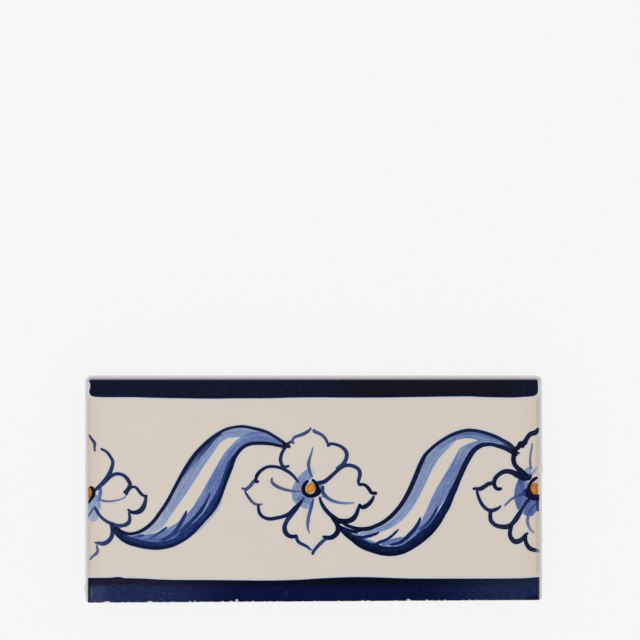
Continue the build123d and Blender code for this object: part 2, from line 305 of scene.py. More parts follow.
RIGHT_SCROLL = (
    ("line", 0.96, 0.87, (9.4, -11, 0.7), (10.6, -11.7, 0.8), (12.4, -12.4, 0.9), (14.4, -12.9, 1),
     (16.4, -13.05, 1.2), (18.4, -12.75, 1.2), (20, -12.1, 1.1), (22, -11.2, 1.1), (24, -9.9, 1.15),
     (26, -8.1, 1.2), (28, -5.8, 1.2), (29.5, -3.6, 1.25), (31, -0.9, 1.3), (32.3, 1.9, 1.35),
     (33.6, 5, 1.35), (34.8, 8, 1.3), (36.2, 10.8, 1.15), (37.6, 12.4, 1), (39.2, 13.9, 0.95),
     (41, 15.3, 0.9), (43, 16.6, 0.9), (45.2, 17.75, 0.95), (47.6, 18.65, 0.95), (50, 19.15, 0.95),
     (52.4, 19.1, 0.9), (55, 18.6, 0.9), (57.6, 17.8, 0.95), (60, 16.8, 1), (62, 15.7, 1),
     (63.6, 14.8, 1.1), (64.9, 13.7, 1), (65.4, 13, 0.9)),
    ("line", 0.9, 0.9, (45.9, -0.1, 1.5), (46.9, 2.5, 1.6), (48, 5, 1.6), (48.9, 7, 1.6), (49.7, 8.6, 1.6),
     (50.5, 10.1, 1.6), (51.4, 11.6, 1.6), (52.5, 12.9, 1.5), (53.7, 13.8, 1.4), (55, 14.4, 1.3),
     (56.5, 14.6, 1.1), (58, 14.6, 1), (59.5, 14.25, 1.05), (61, 13.8, 1.15), (62.5, 13.3, 1.2),
     (63.8, 12.6, 1.2), (65, 11.9, 1.1)),
    ("deep", 0.95, 0.93, (8, -12.5, 0.7), (9.2, -13.3, 1.2), (11, -14.5, 2.2), (13, -15.6, 2.9),
     (15, -17, 3.3), (17, -18.2, 3.2), (20, -19.35, 3.1), (22.5, -20.1, 2.95), (25, -20.3, 2.95),
     (27.5, -20.05, 2.85), (30, -19.15, 2.9), (32.2, -17.85, 3), (34, -16.6, 3.1), (36, -15, 3.05),
     (38, -13.2, 2.9), (40, -10.8, 2.7), (42, -7.6, 2.5), (43.5, -5, 2.4), (44.8, -2, 2.1), (45.8, 0, 1.9),
     (46.7, 2, 1.7)),
    ("deep", 0.93, 0.93, (8.8, -12.3, 0.7), (11.5, -13.5, 1), (13.5, -13.8, 1), (15.2, -13.5, 0.7),
     (16.4, -13.2, 0.4)),
    ("fan", 0.88, 0.86, (21.3, -14, 0.45), (20.5, -14.5, 0.75), (19.3, -14.9, 0.9), (18, -15.3, 1),
     (16.6, -15.6, 1), (15.2, -15.8, 1), (13.5, -15.6, 0.9)),
    ("fan", 0.92, 0.84, (27.6, -13.2, 0.4), (27, -13.8, 0.6), (26.2, -14.6, 0.7), (25.2, -15.5, 0.8),
     (24.2, -16.2, 0.8), (23, -16.8, 0.9), (21.8, -17.2, 1), (20.4, -17.9, 1)),
    ("fan", 0.88, 0.86, (34.8, -9.3, 0.5), (34.4, -10.6, 0.9), (33.6, -12, 1.1), (32.45, -13.6, 1.2),
     (31.15, -15, 1.3), (29.8, -16.25, 1.2), (28.2, -17.4, 1.1), (26.8, -17.8, 0.9), (25.6, -18.1, 0.8),
     (24.7, -18, 0.4)),
    ("fan", 0.9, 0.68, (40.4, -5.8, 0.4), (39.9, -7, 0.8), (39.2, -8.4, 0.95), (38.4, -9.7, 1.1),
     (37.4, -10.9, 1.2), (36.3, -12.1, 1.3), (35, -13.3, 1.4), (33.8, -14.4, 1.3)),
    ("lift", 0.3, 0.52, (10, -12.1, 0.4), (11, -12.4, 0.5), (12.2, -12.8, 0.45), (13.3, -13.1, 0.3)),
    ("lift", 0.36, 0.4, (12.4, -14.4, 0.35), (13.4, -14.7, 0.5), (14.6, -14.95, 0.5), (15.6, -14.9, 0.4)),
    ("lift", 0.3, 0.3, (8.3, -10.9, 0.45), (8.9, -11.3, 0.35)),
    ("lift", 0.46, 0.46, (16.2, -16.2, 0.3), (17.2, -16.5, 0.6), (18.4, -17, 0.8), (19.4, -17.3, 0.7),
     (20.2, -17.2, 0.3)),
    ("lift", 0.48, 0.44, (22, -18.3, 0.5), (23.5, -18.5, 0.45), (25, -18.65, 0.3), (26.5, -18.6, 0.35),
     (28, -18.3, 0.4), (29.2, -17.8, 0.45), (30.2, -17.1, 0.5), (31.2, -16.3, 0.55), (32.2, -15.4, 0.65),
     (33.2, -14.4, 0.7), (34.2, -13.3, 0.8)),
    ("lift", 0.46, 0.56, (40.3, -7.2, 0.5), (39.6, -8.6, 0.4), (38.9, -9.8, 0.4), (38.1, -10.9, 0.35),
     (37.2, -11.9, 0.3), (36.2, -12.9, 0.25)),
    ("lift", 0.2, 0.2, (36.9, 10.2, 0.15), (37.8, 11.5, 0.25), (39, 12.8, 0.25), (40.2, 13.9, 0.15)),
    ("lift", 0.3, 0.3, (62.7, 13.9, 0.3), (63.7, 13.5, 0.35), (64.7, 13, 0.2)),
    ("pale", 0.39, 0.4, (15.5, -14.4, 1), (17, -14.3, 1.4), (19, -13.9, 1.6), (21, -13.2, 1.8),
     (23, -12.5, 2), (25, -11.5, 2.2), (27, -10, 2.4), (29, -8, 2.7), (31, -5.3, 2.9), (32.6, -2.6, 3),
     (34, 0.2, 3.1), (35.2, 3, 3.3), (36.4, 5.8, 3.5), (37.7, 8.5, 3.6), (39.3, 10.9, 3.5), (41.3, 13, 3.3),
     (43.5, 14.9, 3), (46, 16.8, 2)),
    ("mid", 0.42, 0.56, (39, 12.2, 1.4), (41.6, 14.4, 2.2), (44.4, 16.3, 2.4), (47, 17.5, 2.2),
     (49.4, 18, 1.9), (51.6, 18, 1.8), (54, 17.6, 1.8), (57, 16.8, 1.6), (59.5, 16, 1.4), (61.5, 15, 1.2),
     (63.2, 14, 0.8)),
    ("mid", 0.45, 0.45, (46.5, 17, 2), (49.4, 17.65, 2.2), (51.6, 17.6, 2.3), (53.4, 17.2, 2.3),
     (55.2, 16.4, 2.6), (57.2, 16, 2.3), (59.5, 15.4, 1.8), (61.5, 14.6, 1.2)),
    ("mid", 0.48, 0.43, (22.5, -17.9, 1), (24.5, -17.4, 1.7), (26.5, -16.9, 1.9), (28.5, -16.3, 1.4),
     (30.4, -16.4, 1), (32, -15.4, 1.2), (33.8, -13.8, 1.4), (35.3, -12, 1.8), (36.6, -10, 2.4),
     (37.8, -8, 2.8), (39.1, -5.8, 3.4), (40.5, -3.2, 3.9), (42, -0.6, 4.2), (43.6, 2, 4.3),
     (45.1, 4.4, 4.3), (46.6, 7, 4.3), (48.1, 9.8, 4.3), (49.3, 12, 4.2), (50.4, 13.4, 2.8),
     (52, 14.5, 1.8), (53.4, 15.1, 1.3), (55, 15.5, 1.4), (57, 15.4, 1.4)),
    ("fan", 0.58, 0.53, (45.5, 17.35, 0.4), (48.2, 18.05, 1.1), (51, 18.35, 1.2), (54, 18, 1.1),
     (57, 17.25, 1), (59.5, 16.35, 0.5)),
    ("lift", 0.34, 0.3, (60.3, 15.5, 0.2), (61.5, 14.9, 0.35), (62.6, 14.2, 0.45), (63.6, 13.6, 0.5),
     (64.5, 13, 0.3)),
)

RIGHT_FLOWER = (
    ("line", 0.89, 0.91, (73.1, 19.6, 0.8), (72.6, 18.7, 1.4), (71.9, 18.3, 1.5), (71, 18.1, 1.4),
     (70.2, 17.5, 1.3), (69.5, 16.5, 1.3), (68.9, 15.5, 1.4), (68.2, 14.8, 1.7), (67.2, 14.7, 1.3)),
    ("over", 0.93, 0.97, (67.3, 15.2, 0.8), (67.9, 14.9, 1.2), (68.8, 14.9, 1.4), (69.4, 15.2, 0.7)),
    ("over", 0.93, 0.95, (68.4, 13.8, 0.7), (67.6, 14.3, 1.4), (66.7, 13.7, 1.4), (65.9, 12.9, 1.3),
     (65.4, 12.2, 1.2)),
    ("line", 0.93, 0.93, (64.8, 12, 1.2), (65.5, 11.9, 1.7), (66.3, 11.8, 1), (66.9, 11.75, 0.5)),
    ("line", 0.94, 0.9, (65.4, 11.6, 1.5), (65.2, 10.4, 1.4), (65.2, 9.2, 1.35), (65.6, 8, 1.3),
     (66.5, 6.9, 1.4), (67.4, 6, 1.7), (68.2, 5, 2.2), (69, 4.2, 2.2), (69.9, 3.85, 2.1), (70.4, 4.1, 1.5)),
    ("over", 0.9, 0.94, (68.5, 3.9, 2.5), (67.2, 4.4, 2.1), (66, 4.9, 1.8), (64.8, 5.5, 1.5),
     (63.4, 5.8, 1.4), (61.9, 5.65, 1.3), (60.6, 4.9, 1.2), (59.5, 3.9, 1.2), (58.9, 2.6, 1.2),
     (58.95, 1.3, 1.1), (59.5, 0.3, 1), (60.3, 0, 1), (61, 0.15, 0.8)),
    ("line", 0.88, 0.88, (58.4, 1.95, 1.1), (57, 1.7, 1.2), (56, 1.05, 1.15), (55, 0.4, 1.25),
     (54, 0.05, 1.15), (53.1, 0.15, 0.85), (52.2, 0.15, 0.7)),
    ("over", 0.86, 0.84, (53.3, -0.6, 0.7), (53.5, -1.8, 0.8), (54, -3.2, 0.85), (54.8, -4.8, 0.95),
     (55.8, -6, 1), (57, -6.8, 1), (58.2, -7, 1.1), (59.4, -6.6, 1), (60.4, -6.1, 0.7), (61, -5.5, 0.4)),
    ("line", 0.87, 0.88, (57.7, -7.3, 1.1), (57.6, -8.8, 1.15), (57.8, -10.2, 1.2), (58.7, -11.3, 1.15),
     (59.8, -11.95, 1.2), (61.2, -12.25, 1.3), (62.7, -12.3, 1.45), (64, -11.9, 1.4), (65, -11, 1.3),
     (66.1, -9.6, 1.5), (67, -8.1, 1.4)),
    ("over", 0.9, 0.84, (64.4, -12.2, 1.2), (64.1, -13.4, 1.2), (64, -14.8, 1.2), (64.5, -16.1, 1.3),
     (65.4, -17, 1.4), (66.4, -17.1, 1.5), (67.6, -16.6, 1.4), (68.5, -15.7, 1.1), (69.1, -14.9, 0.9),
     (69.8, -14.3, 0.5)),
    ("line", 0.94, 0.86, (69, -15.2, 1.1), (69.1, -16.8, 1.1), (69.6, -18.2, 1.2), (70.5, -19.3, 1.3),
     (71.4, -19.7, 1.2), (72.2, -19.9, 1.1), (72.65, -20, 0.9)),
    ("line", 0.52, 0.55, (71.3, 14.9, 0.3), (71.1, 13.4, 0.45), (70.8, 11.8, 0.5), (70.6, 10, 0.5),
     (70.6, 8.4, 0.55), (70.8, 7.3, 0.6), (70.9, 6.6, 0.4)),
    ("line", 0.34, 0.36, (73.1, 7.2, 0.3), (72.4, 6.8, 0.4), (71.8, 5.8, 0.6), (71.3, 5, 0.5)),
    ("line", 0.54, 0.66, (62.3, -5.4, 0.35), (62.9, -4.8, 0.45), (63.8, -3.9, 0.5), (64.9, -3, 0.6),
     (66.2, -2.4, 0.8)),
    ("line", 0.58, 0.4, (70, -8.6, 0.7), (69.7, -10, 0.8), (69.9, -11.4, 0.8), (70.5, -12.8, 0.7),
     (71.2, -13.7, 0.5), (72, -14.2, 0.3)),
    ("over", 0.96, 0.95, (72.7, 3.7, 0.7), (72, 3.3, 1), (71, 2.4, 0.9), (70.35, 1.2, 0.9),
     (70.1, -0.2, 1.2), (70.5, -1.7, 1.8), (71.3, -2.55, 1.8), (72.3, -2.75, 1.9), (73.3, -2.7, 1.8)),
    ("fan", 0.84, 0.91, (68.4, -0.9, 0.9), (69.2, -0.8, 1.8), (69.8, -1.6, 2.2)),
    ("over", 0.8, 0.7, (73.1, -3.4, 0.9), (73, -4.4, 0.8), (73, -5.6, 0.8), (73.1, -6.9, 0.8)),
    ("lift", 0.05, 0.12, (71.5, 4.1, 0.3), (70.9, 3.4, 0.45), (70.3, 2.6, 0.42), (69.95, 1.9, 0.25)),
    ("fan", 0.74, 0.7, (72.4, -4.8, 0.4), (71.6, -5.7, 0.5), (70.8, -6.4, 0.55), (70.35, -7.7, 0.5)),
    ("fan", 0.68, 0.62, (67.1, 2.9, 0.8), (67.4, 1.8, 1.2), (67.7, 0.6, 0.9)),
    ("fan", 0.85, 0.86, (66.4, -9.2, 1.3), (67.1, -8, 1.4), (68, -6.55, 1.05), (68.85, -5.25, 1),
     (69.4, -4.2, 1.1), (70.2, -3.4, 1.1)),
    ("fan", 0.66, 0.76, (65.6, -2.6, 0.5), (66.8, -2.2, 0.9), (68, -1.7, 1.2), (69, -1.3, 1.4)),
    ("lift", 0.42, 0.42, (69, 2.3, 0.5), (69.15, 1.4, 0.9), (69.1, 0.6, 0.5)),
    ("line", 0.72, 0.46, (72.2, -19.95, 0.9), (72.8, -20.05, 1), (73.4, -20.2, 0.8)),
)

WASH_PATCHES = (
    ("pale", 0.4, 60, (-7.2, -1.4), (-6.9, 0.8), (-5.6, 3.2), (-4.1, 5), (-2.5, 6.3), (-1.6, 6.5),
     (-1.1, 5.6), (-0.8, 4.4), (-0.5, 3), (0.4, 0), (0.6, -2.2), (0.1, -3.6), (-0.5, -5.2), (-1.4, -6.3),
     (-2.8, -6.4), (-4.4, -5.6), (-6, -4.6), (-6.9, -3.2)),
    ("mid", 0.57, 80, (68.6, 3.4), (67, 3.5), (66.3, 2.2), (65.8, 0.8), (65.5, -0.8), (65.4, -2.4),
     (65.6, -4), (66, -5.4), (66.8, -6.9), (68, -6.4), (69.4, -3.6), (70.2, -1), (70.2, 1.6)),
    ("mid", 0.57, 60, (68.3, -8), (68.8, -6.4), (69.5, -5.2), (70.2, -3.6), (73, -3.6), (72.9, -6.6),
     (72.2, -7.7), (71.4, -8.7), (70, -8.9), (68.9, -8.5)),
    ("pale", 0.4, 80, (68.7, 5.9), (69.5, 6.9), (70.3, 7.4), (70.9, 6.9), (70.9, 5.6), (70.6, 4.7),
     (69.4, 4.9)),
    ("pale", 0.31, 50, (71.2, 5), (71.4, 6), (72.2, 6.9), (73, 7.2), (72.9, 6.2), (72.2, 5.2)),
    ("orange", 0.58, 60, (-2.7, -0.3), (-2.45, 0.8), (-1.8, 1.7), (-0.9, 2.15), (-0.1, 1.9), (0.5, 1.15),
     (0.6, 0.2), (0.1, -0.8), (-0.8, -1.45), (-1.7, -1.6), (-2.45, -1.15)),
    ("orange", 0.42, 80, (-74.2, -1.4), (-73.9, 0.2), (-73.2, 0.7), (-72.4, 0.2), (-72.1, -1),
     (-72.3, -2.2), (-72.9, -3), (-73.7, -3)),
    ("orange", 0.34, 70, (70.35, 0.3), (70.75, 1.3), (71.5, 1.9), (72.4, 2.15), (73.05, 1.9), (73.15, 0.5),
     (73.1, -1.6), (72.4, -2.1), (71.4, -1.7), (70.6, -0.8)),
    ("pale", 0.17, 70, (-1.2, 4.6), (-1.4, 6.2), (-0.6, 6.9), (0.2, 6.2), (0.1, 4.8), (-0.4, 4)),
)

# The two border bands, as outlines that run on over the glazed edges and the saw cut.
BANDS = (
    ((-73.2, 36.9), (-73.4, 35.3), (-73, 34.7), (-72.85, 33.8), (-72.95, 32.8), (-73.25, 32.1),
     (-73.15, 31.3), (-72.65, 30.55), (-71.6, 30.15), (-68, 29.96), (-60, 29.96), (-52, 29.77), (-44, 29.6),
     (-34, 29.48), (-24, 29.57), (-14, 29.62), (-6, 29.84), (4, 29.88), (12, 29.82), (22, 29.84),
     (34, 30.02), (46, 30.2), (51.5, 30.2), (55, 30.02), (60, 29.91), (65, 29.86), (69, 30.08),
     (71.5, 30.3), (72.65, 30.8), (73.15, 31.8), (73.15, 34.5), (73.05, 36.5), (73, 38.5), (72, 39.5),
     (-72, 39.5), (-73.1, 38.5)),
    ((-74.8, -30), (-74.7, -29), (-74, -28.92), (-72, -28.91), (-68, -28.9), (-66, -28.86), (-64.6, -28.66),
     (-62.8, -28.68), (-61.8, -28.97), (-56, -29.12), (-50, -29.45), (-44, -29.58), (-32, -29.62),
     (-16, -29.76), (-6, -29.56), (2, -29.08), (8, -28.8), (13, -28.64), (20, -28.74), (30, -29.08),
     (38, -29.14), (60, -29.13), (68, -29.03), (72, -28.76), (74, -28.58), (74.7, -28.6), (74.8, -30),
     (74.8, -39.5), (-74.8, -39.5)),
)

# Pale scratches and specks in the lower band.
BAND_MARKS = (
    ("lift", 0.66, 0.66, (-65.3, -32.9, 0.3), (-64.9, -32.9, 0.3)),
    ("lift", 0.72, 0.72, (-62.6, -31.3, 0.25), (-62.1, -31.7, 0.35), (-61.9, -32.2, 0.2)),
    ("lift", 0.74, 0.74, (-59.6, -31.2, 0.3), (-58.9, -31.5, 0.3)),
    ("lift", 0.64, 0.66, (-48.9, -33.9, 0.3), (-48.5, -33.95, 0.3)),
    ("lift", 0.68, 0.68, (-47.5, -34.15, 0.25), (-47.2, -34.15, 0.3)),
    ("lift", 0.6, 0.64, (-46.3, -33.8, 0.25), (-46.1, -34.3, 0.3)),
    ("lift", 0.66, 0.66, (-49.7, -35.8, 0.3), (-49.3, -35.8, 0.3)),
    ("lift", 0.66, 0.66, (-9.1, -33.5, 0.3), (-8.8, -33.6, 0.3)),
    ("lift", 0.66, 0.66, (-9.1, -34.5, 0.3), (-8.8, -34.5, 0.3)),
    ("lift", 0.74, 0.7, (-64.2, -31.5, 0.2), (-63.6, -31.3, 0.3)),
    ("lift", 0.74, 0.72, (-61.4, -32.3, 0.2), (-61, -32.9, 0.3)),
    ("lift", 0.76, 0.72, (-60.6, -31.2, 0.25), (-60.2, -31.5, 0.25)),
    ("lift", 0.75, 0.75, (-57.6, -31.5, 0.2), (-57, -31.4, 0.3)),
    ("lift", 0.74, 0.74, (-66.2, -33.2, 0.2), (-65.8, -32.6, 0.25)),
)

# Chips along the saw cut: x of the middle, half of the length, and how far it reaches into the face.
CHIPS = (
    (-67.4, 1.25, 0.5), (-60.7, 0.3, 0.2), (-53.4, 0.75, 0.5), (-51.7, 0.3, 0.2), (-36.3, 1.2, 0.15),
    (-29.6, 0.4, 0.35), (-27.0, 0.45, 0.4), (-25.1, 0.42, 1.05), (-19.9, 0.3, 0.3), (16.3, 0.3, 0.25),
    (17.8, 0.4, 0.3), (30.9, 0.7, 0.65), (32.7, 0.3, 0.25), (36.9, 0.42, 0.38), (38.6, 0.25, 0.15),
    (51.5, 0.2, 0.12),
)

BAND_INK = 0.94
BAND_SPACING = 0.8  # millimetres between the points of a band's outline

# How a wash lies: softness and raggedness of its edge, streaks, darker rim, grain, and how far the
# paint ran out beyond the brush.
WashLook = namedtuple("WashLook", "soft ragged streaks rim grain bleed")
WASH_LOOKS = {
    "pale": WashLook(0.30, 0.220, 0.17, 0.05, 0.10, 0.0),
    "mid": WashLook(0.22, 0.220, 0.18, 0.05, 0.10, 0.0),
    "deep": WashLook(0.12, 0.132, 0.06, 0.06, 0.22, 0.20),
    "band": WashLook(0.12, 0.132, 0.0, 0.0, 0.10, 0.0),
}
# The same for a drawn mark: softness, darker rim, cloudiness, and how far the paint ran out.
MarkLook = namedtuple("MarkLook", "soft rim clouds bleed")
MARK_LOOKS = {
    "fan": MarkLook(0.14, 0.06, 0.14, 0.10),
    "lift": MarkLook(0.14, 0.0, 0.05, -0.02),
    "line": MarkLook(0.13, 0.10, 0.05, 0.20),
    "over": MarkLook(0.13, 0.10, 0.05, 0.20),
}
LOOKS = {**WASH_LOOKS, **MARK_LOOKS}
AREA_LAYERS = (*WASH_LOOKS, "orange")
LINE_LAYERS = tuple(MARK_LOOKS)
FAR = 9.0  # millimetres: further than any soft edge reaches

# The two ramps of paint, from bare glaze to black, with the amounts of ink at which each paint is.
INK_AMOUNTS = (0, 0.1, 0.3, 0.5, 0.75, 0.88, 0.96, 1)
WASH_PAINTS = ("cream", "film", "pale", "middle", "cobalt", "navy", "night", "black")
LINE_PAINTS = ("cream", "film", "thin_line", "middle_line", "blue_line", "dark_line", "night_line", "black")

# Bumps of the parting ridge: the end (+1 right, -1 left), the middle and the half length in y.
RIDGE_BUMPS = ((1, 6.6, 2.6), (1, -16.9, 0.9), (-1, -32.6, 2.4))
END_START, END_FULL = 60, 72  # from here on outwards a place counts as the tile's end


def ease(value, low, high):
    """0 below the low mark, 1 above the high one, and a smooth S between them."""
    share = np.clip((value - low) / (high - low), 0, 1)
    return share * share * (3 - 2 * share)


def smooth_run(points, spacing=0.3, closed=False):
    """A smooth run through given points.

    Catmull-Rom: on the span from P1 to P2, at the share t, the place is the cubic through both whose
    slopes are half of (P2 - P0) and of (P3 - P1). Every span is cut into steps of about the spacing.
    """
    knots = np.array(points, float)
    if closed:
        knots = np.vstack((knots[-1], knots, knots[0], knots[1]))
    else:
        knots = np.vstack((2 * knots[0] - knots[1], knots, 2 * knots[-1] - knots[-2]))
    spans = []
    for p0, p1, p2, p3 in zip(knots[:-3], knots[1:-2], knots[2:-1], knots[3:]):
        steps = max(2, int(np.hypot(*(p2 - p1)[:2]) / spacing))
        t = np.arange(steps)[:, None] / steps
        second = 2 * p0 - 5 * p1 + 4 * p2 - p3
        third = 3 * p1 - p0 - 3 * p2 + p3
        spans.append(0.5 * (2 * p1 + (p2 - p0) * t + second * t**2 + third * t**3))
    return np.vstack((*spans, knots[-2]))


def nearest_on_run(run, x, y):
    """For each place, the nearest point of a run: the distance, the side (+1 left), and how far along.

    The place is dropped square onto every straight step, held within the step, and the closest
    step is kept. The last value returned is a fractional index into the run.
    """
    start = run[:-1, :2]
    step = run[1:, :2] - start
    away_x = x[:, None] - start[:, 0]
    away_y = y[:, None] - start[:, 1]
    share = np.clip((away_x * step[:, 0] + away_y * step[:, 1]) / (step**2).sum(1), 0, 1)
    away = np.hypot(away_x - share * step[:, 0], away_y - share * step[:, 1])
    which = away.argmin(1)
    row = np.arange(len(x))
    side = np.sign(step[which, 0] * away_y[row, which] - step[which, 1] * away_x[row, which])
    return away[row, which], np.where(side == 0, 1, side), which + share[row, which]


class Painting:
    """Brush strokes, kept at each vertex as distances, so that the material can draw them sharply.

    An area layer holds (depth inside the area, along, across, ink). A line layer holds (signed
    distance from the stroke's middle, half of its width, gate, ink): the gate is negative where no
    stroke is near, because between two strokes the signed distance passes through zero.
    """

    gate_margin = 0.25
    thinnest = 0.1  # least width of a stroke
    stroke_reach, patch_reach = 1.5, 2.0  # how far outside one the vertices still take note of it

    def __init__(self, x, y):
        self.x, self.y = x, y
        self.layers = {name: np.tile((-FAR, 0.0, 0.0, 0.0), (len(x), 1)) for name in AREA_LAYERS}
        for name in LINE_LAYERS:
            self.layers[name] = np.tile((FAR, 0.0, -FAR, 0.0), (len(x), 1))

    def near(self, run, reach):
        """The vertices in the run's box, grown by the reach."""
        low, high = run[:, :2].min(0) - reach, run[:, :2].max(0) + reach
        level = (self.x > low[0]) & (self.x < high[0])
        return np.flatnonzero(level & (self.y > low[1]) & (self.y < high[1]))

    def stroke(self, layer, start_ink, end_ink, *points):
        """One brush stroke; where two of a layer meet, the one that a vertex lies deeper in wins."""
        run = smooth_run(points)
        half = np.clip(run[:, 2] + LOOKS[layer].bleed, self.thinnest, None) / 2
        near = self.near(run, half.max() + self.stroke_reach)
        away, side, along = nearest_on_run(run, self.x[near], self.y[near])
        place = np.arange(len(run))
        width = np.interp(along, place, half)
        travel = np.interp(along, place, np.r_[0, np.hypot(*np.diff(run[:, :2], axis=0).T).cumsum()])
        ink = np.interp(along, (0, len(run) - 1), (start_ink, end_ink))
        depth = width - away
        if layer in AREA_LAYERS:
            found = np.stack((depth, travel, side * away, ink), 1)
            self.keep_deepest(layer, near, found, 0)
        else:
            inside = (along > 0) & (along < len(run) - 1)
            found = np.stack((side * away, width, depth + self.gate_margin * inside, ink), 1)
            self.keep_deepest(layer, near, found, 2)

    def patch(self, layer, ink, direction, *points, spacing=0.3):
        """A filled outline: inside where a level ray from a vertex crosses it an odd number of times."""
        run = smooth_run(points, spacing, closed=True)
        near = self.near(run, self.patch_reach)
        x, y = self.x[near], self.y[near]
        away = nearest_on_run(run, x, y)[0]
        (x0, y0), (x1, y1) = run[:-1, :2].T, run[1:, :2].T
        rises = (y0 > y[:, None]) != (y1 > y[:, None])
        meets = x0 + (y[:, None] - y0) * (x1 - x0) / np.where(y1 == y0, 1, y1 - y0)
        inside = (rises & (x[:, None] < meets)).sum(1) % 2 == 1
        angle = math.radians(direction)
        along = x * math.cos(angle) + y * math.sin(angle)
        across = y * math.cos(angle) - x * math.sin(angle)
        found = np.stack((np.where(inside, away, -away), along, across, np.full(len(x), ink)), 1)
        self.keep_deepest(layer, near, found, 0)

    def keep_deepest(self, layer, near, found, depth_column):
        kept = self.layers[layer]
        deeper = found[:, depth_column] > kept[near, depth_column]
        kept[near[deeper]] = found[deeper]


def paint(x, y):
    """The whole painting at the given places."""
    painting = Painting(x, y)
    for stroke in LEFT_FLOWER + LEFT_SCROLL + CENTRE_FLOWER + RIGHT_SCROLL + RIGHT_FLOWER + BAND_MARKS:
        painting.stroke(*stroke)
    for patch in WASH_PATCHES:
        painting.patch(*patch)
    for outline in BANDS:
        painting.patch("band", BAND_INK, 0, *outline, spacing=BAND_SPACING)
    return painting


def band_colours(x, y, colours):
    """Colours of the two bands, mixed from a few paints, and how blue the drawn lines are.

    The top band goes from night blue to soot towards the right. The lower one has black paint above
    and blue paint near the cut; both are duller towards its ends, and its very ends are dark again.
    Lines are blue in the scrolls and in the lower half of the middle flower.
    """
    def mixed(start, end, share):
        return np.array(start) + (np.array(end) - np.array(start)) * share[:, None]

    top = mixed(colours.night_line, colours.soot, ease(x, 2, 22) * (1 - ease(x, 58, 70)))
    upper = mixed(colours.black, colours.tarnish, 0.95 * ease(-x, 14, 64))
    upper = mixed(upper, colours.slate, 0.9 * ease(x, 32, 70))
    lower = mixed(colours.band_blue, colours.dull_blue, ease(-x, 22, 54) + 0.9 * ease(x, 34, 68))
    lower = mixed(lower, colours.middle, 0.12 * ease(-x, 65, 70))
    bottom = mixed(upper, lower, ease(-y, 30.7, 32.3))
    bottom = mixed(bottom, colours.night_line, ease(x, 68, 71) * ease(-y, 34.3, 35.0))
    streak = (1 - ease(np.abs(x + 72.5), 0.1, 0.5)) * ease(-y, 31.2, 33) * (1 - ease(-y, 35, 36))
    bottom = mixed(bottom, colours.thin_line, 0.13 * streak)
    bottom = mixed(bottom, colours.slate, 0.8 * ease(x, 72.95, 73.2))
    bottom = mixed(bottom, colours.black, ease(-x, 72.8, 73.0))
    rust = ease(-x, 68.4, 69.2) * (1 - ease(-x, 71.8, 72.6)) * ease(-y, 36.2, 36.6)
    bottom = mixed(bottom, colours.brown, 0.08 * rust)
    blueness = (0.55 + 0.45 * ease(x, -50, -40)) * (1 - ease(x, 62, 65))
    blueness *= 1 - ease(x, -63.5, -61.5) * (1 - ease(x, -54, -52.5)) * ease(y, -12.8, -11.8)
    blueness *= 1 - ease(x, -25, -23) * (1 - ease(x, -16, -12)) * ease(y, -6.5, -5) * (1 - ease(y, 9, 11))
    blueness *= 1 - ease(x, -16, -12) * (1 - ease(x, 20, 24)) * ease(y, -3, 0)
    blueness *= 1 - ease(x, 50.5, 51.5) * (1 - ease(y, 7, 8.5))
    blueness *= 1 - 0.6 * ease(x, -44, -38) * (1 - ease(x, -12, -9)) * ease(y, 8, 12)
    blueness = np.maximum(blueness, 0.9 * (1 - ease(np.hypot(x + 2.0, y - 1.0), 5.0, 8.5)))
    blueness = np.maximum(blueness, 1 - ease(np.hypot(x - 68.3, y - 3.8), 1.5, 3.2))
    blueness = np.maximum(blueness, 0.6 * (1 - ease(np.hypot(x + 21.2, y - 1.2), 1.5, 2.8)))
    blueness *= 1 - ease(-x, 69, 71) * ease(y, 4, 8)
    spot = (1 - ease(np.hypot(x - 69.5, y + 4.0), 4.0, 6.0)) * ease(-y, -1, 1)
    blueness = np.maximum(blueness, 0.7 * spot)
    return np.c_[np.where((y > 0)[:, None], top, bottom), blueness]


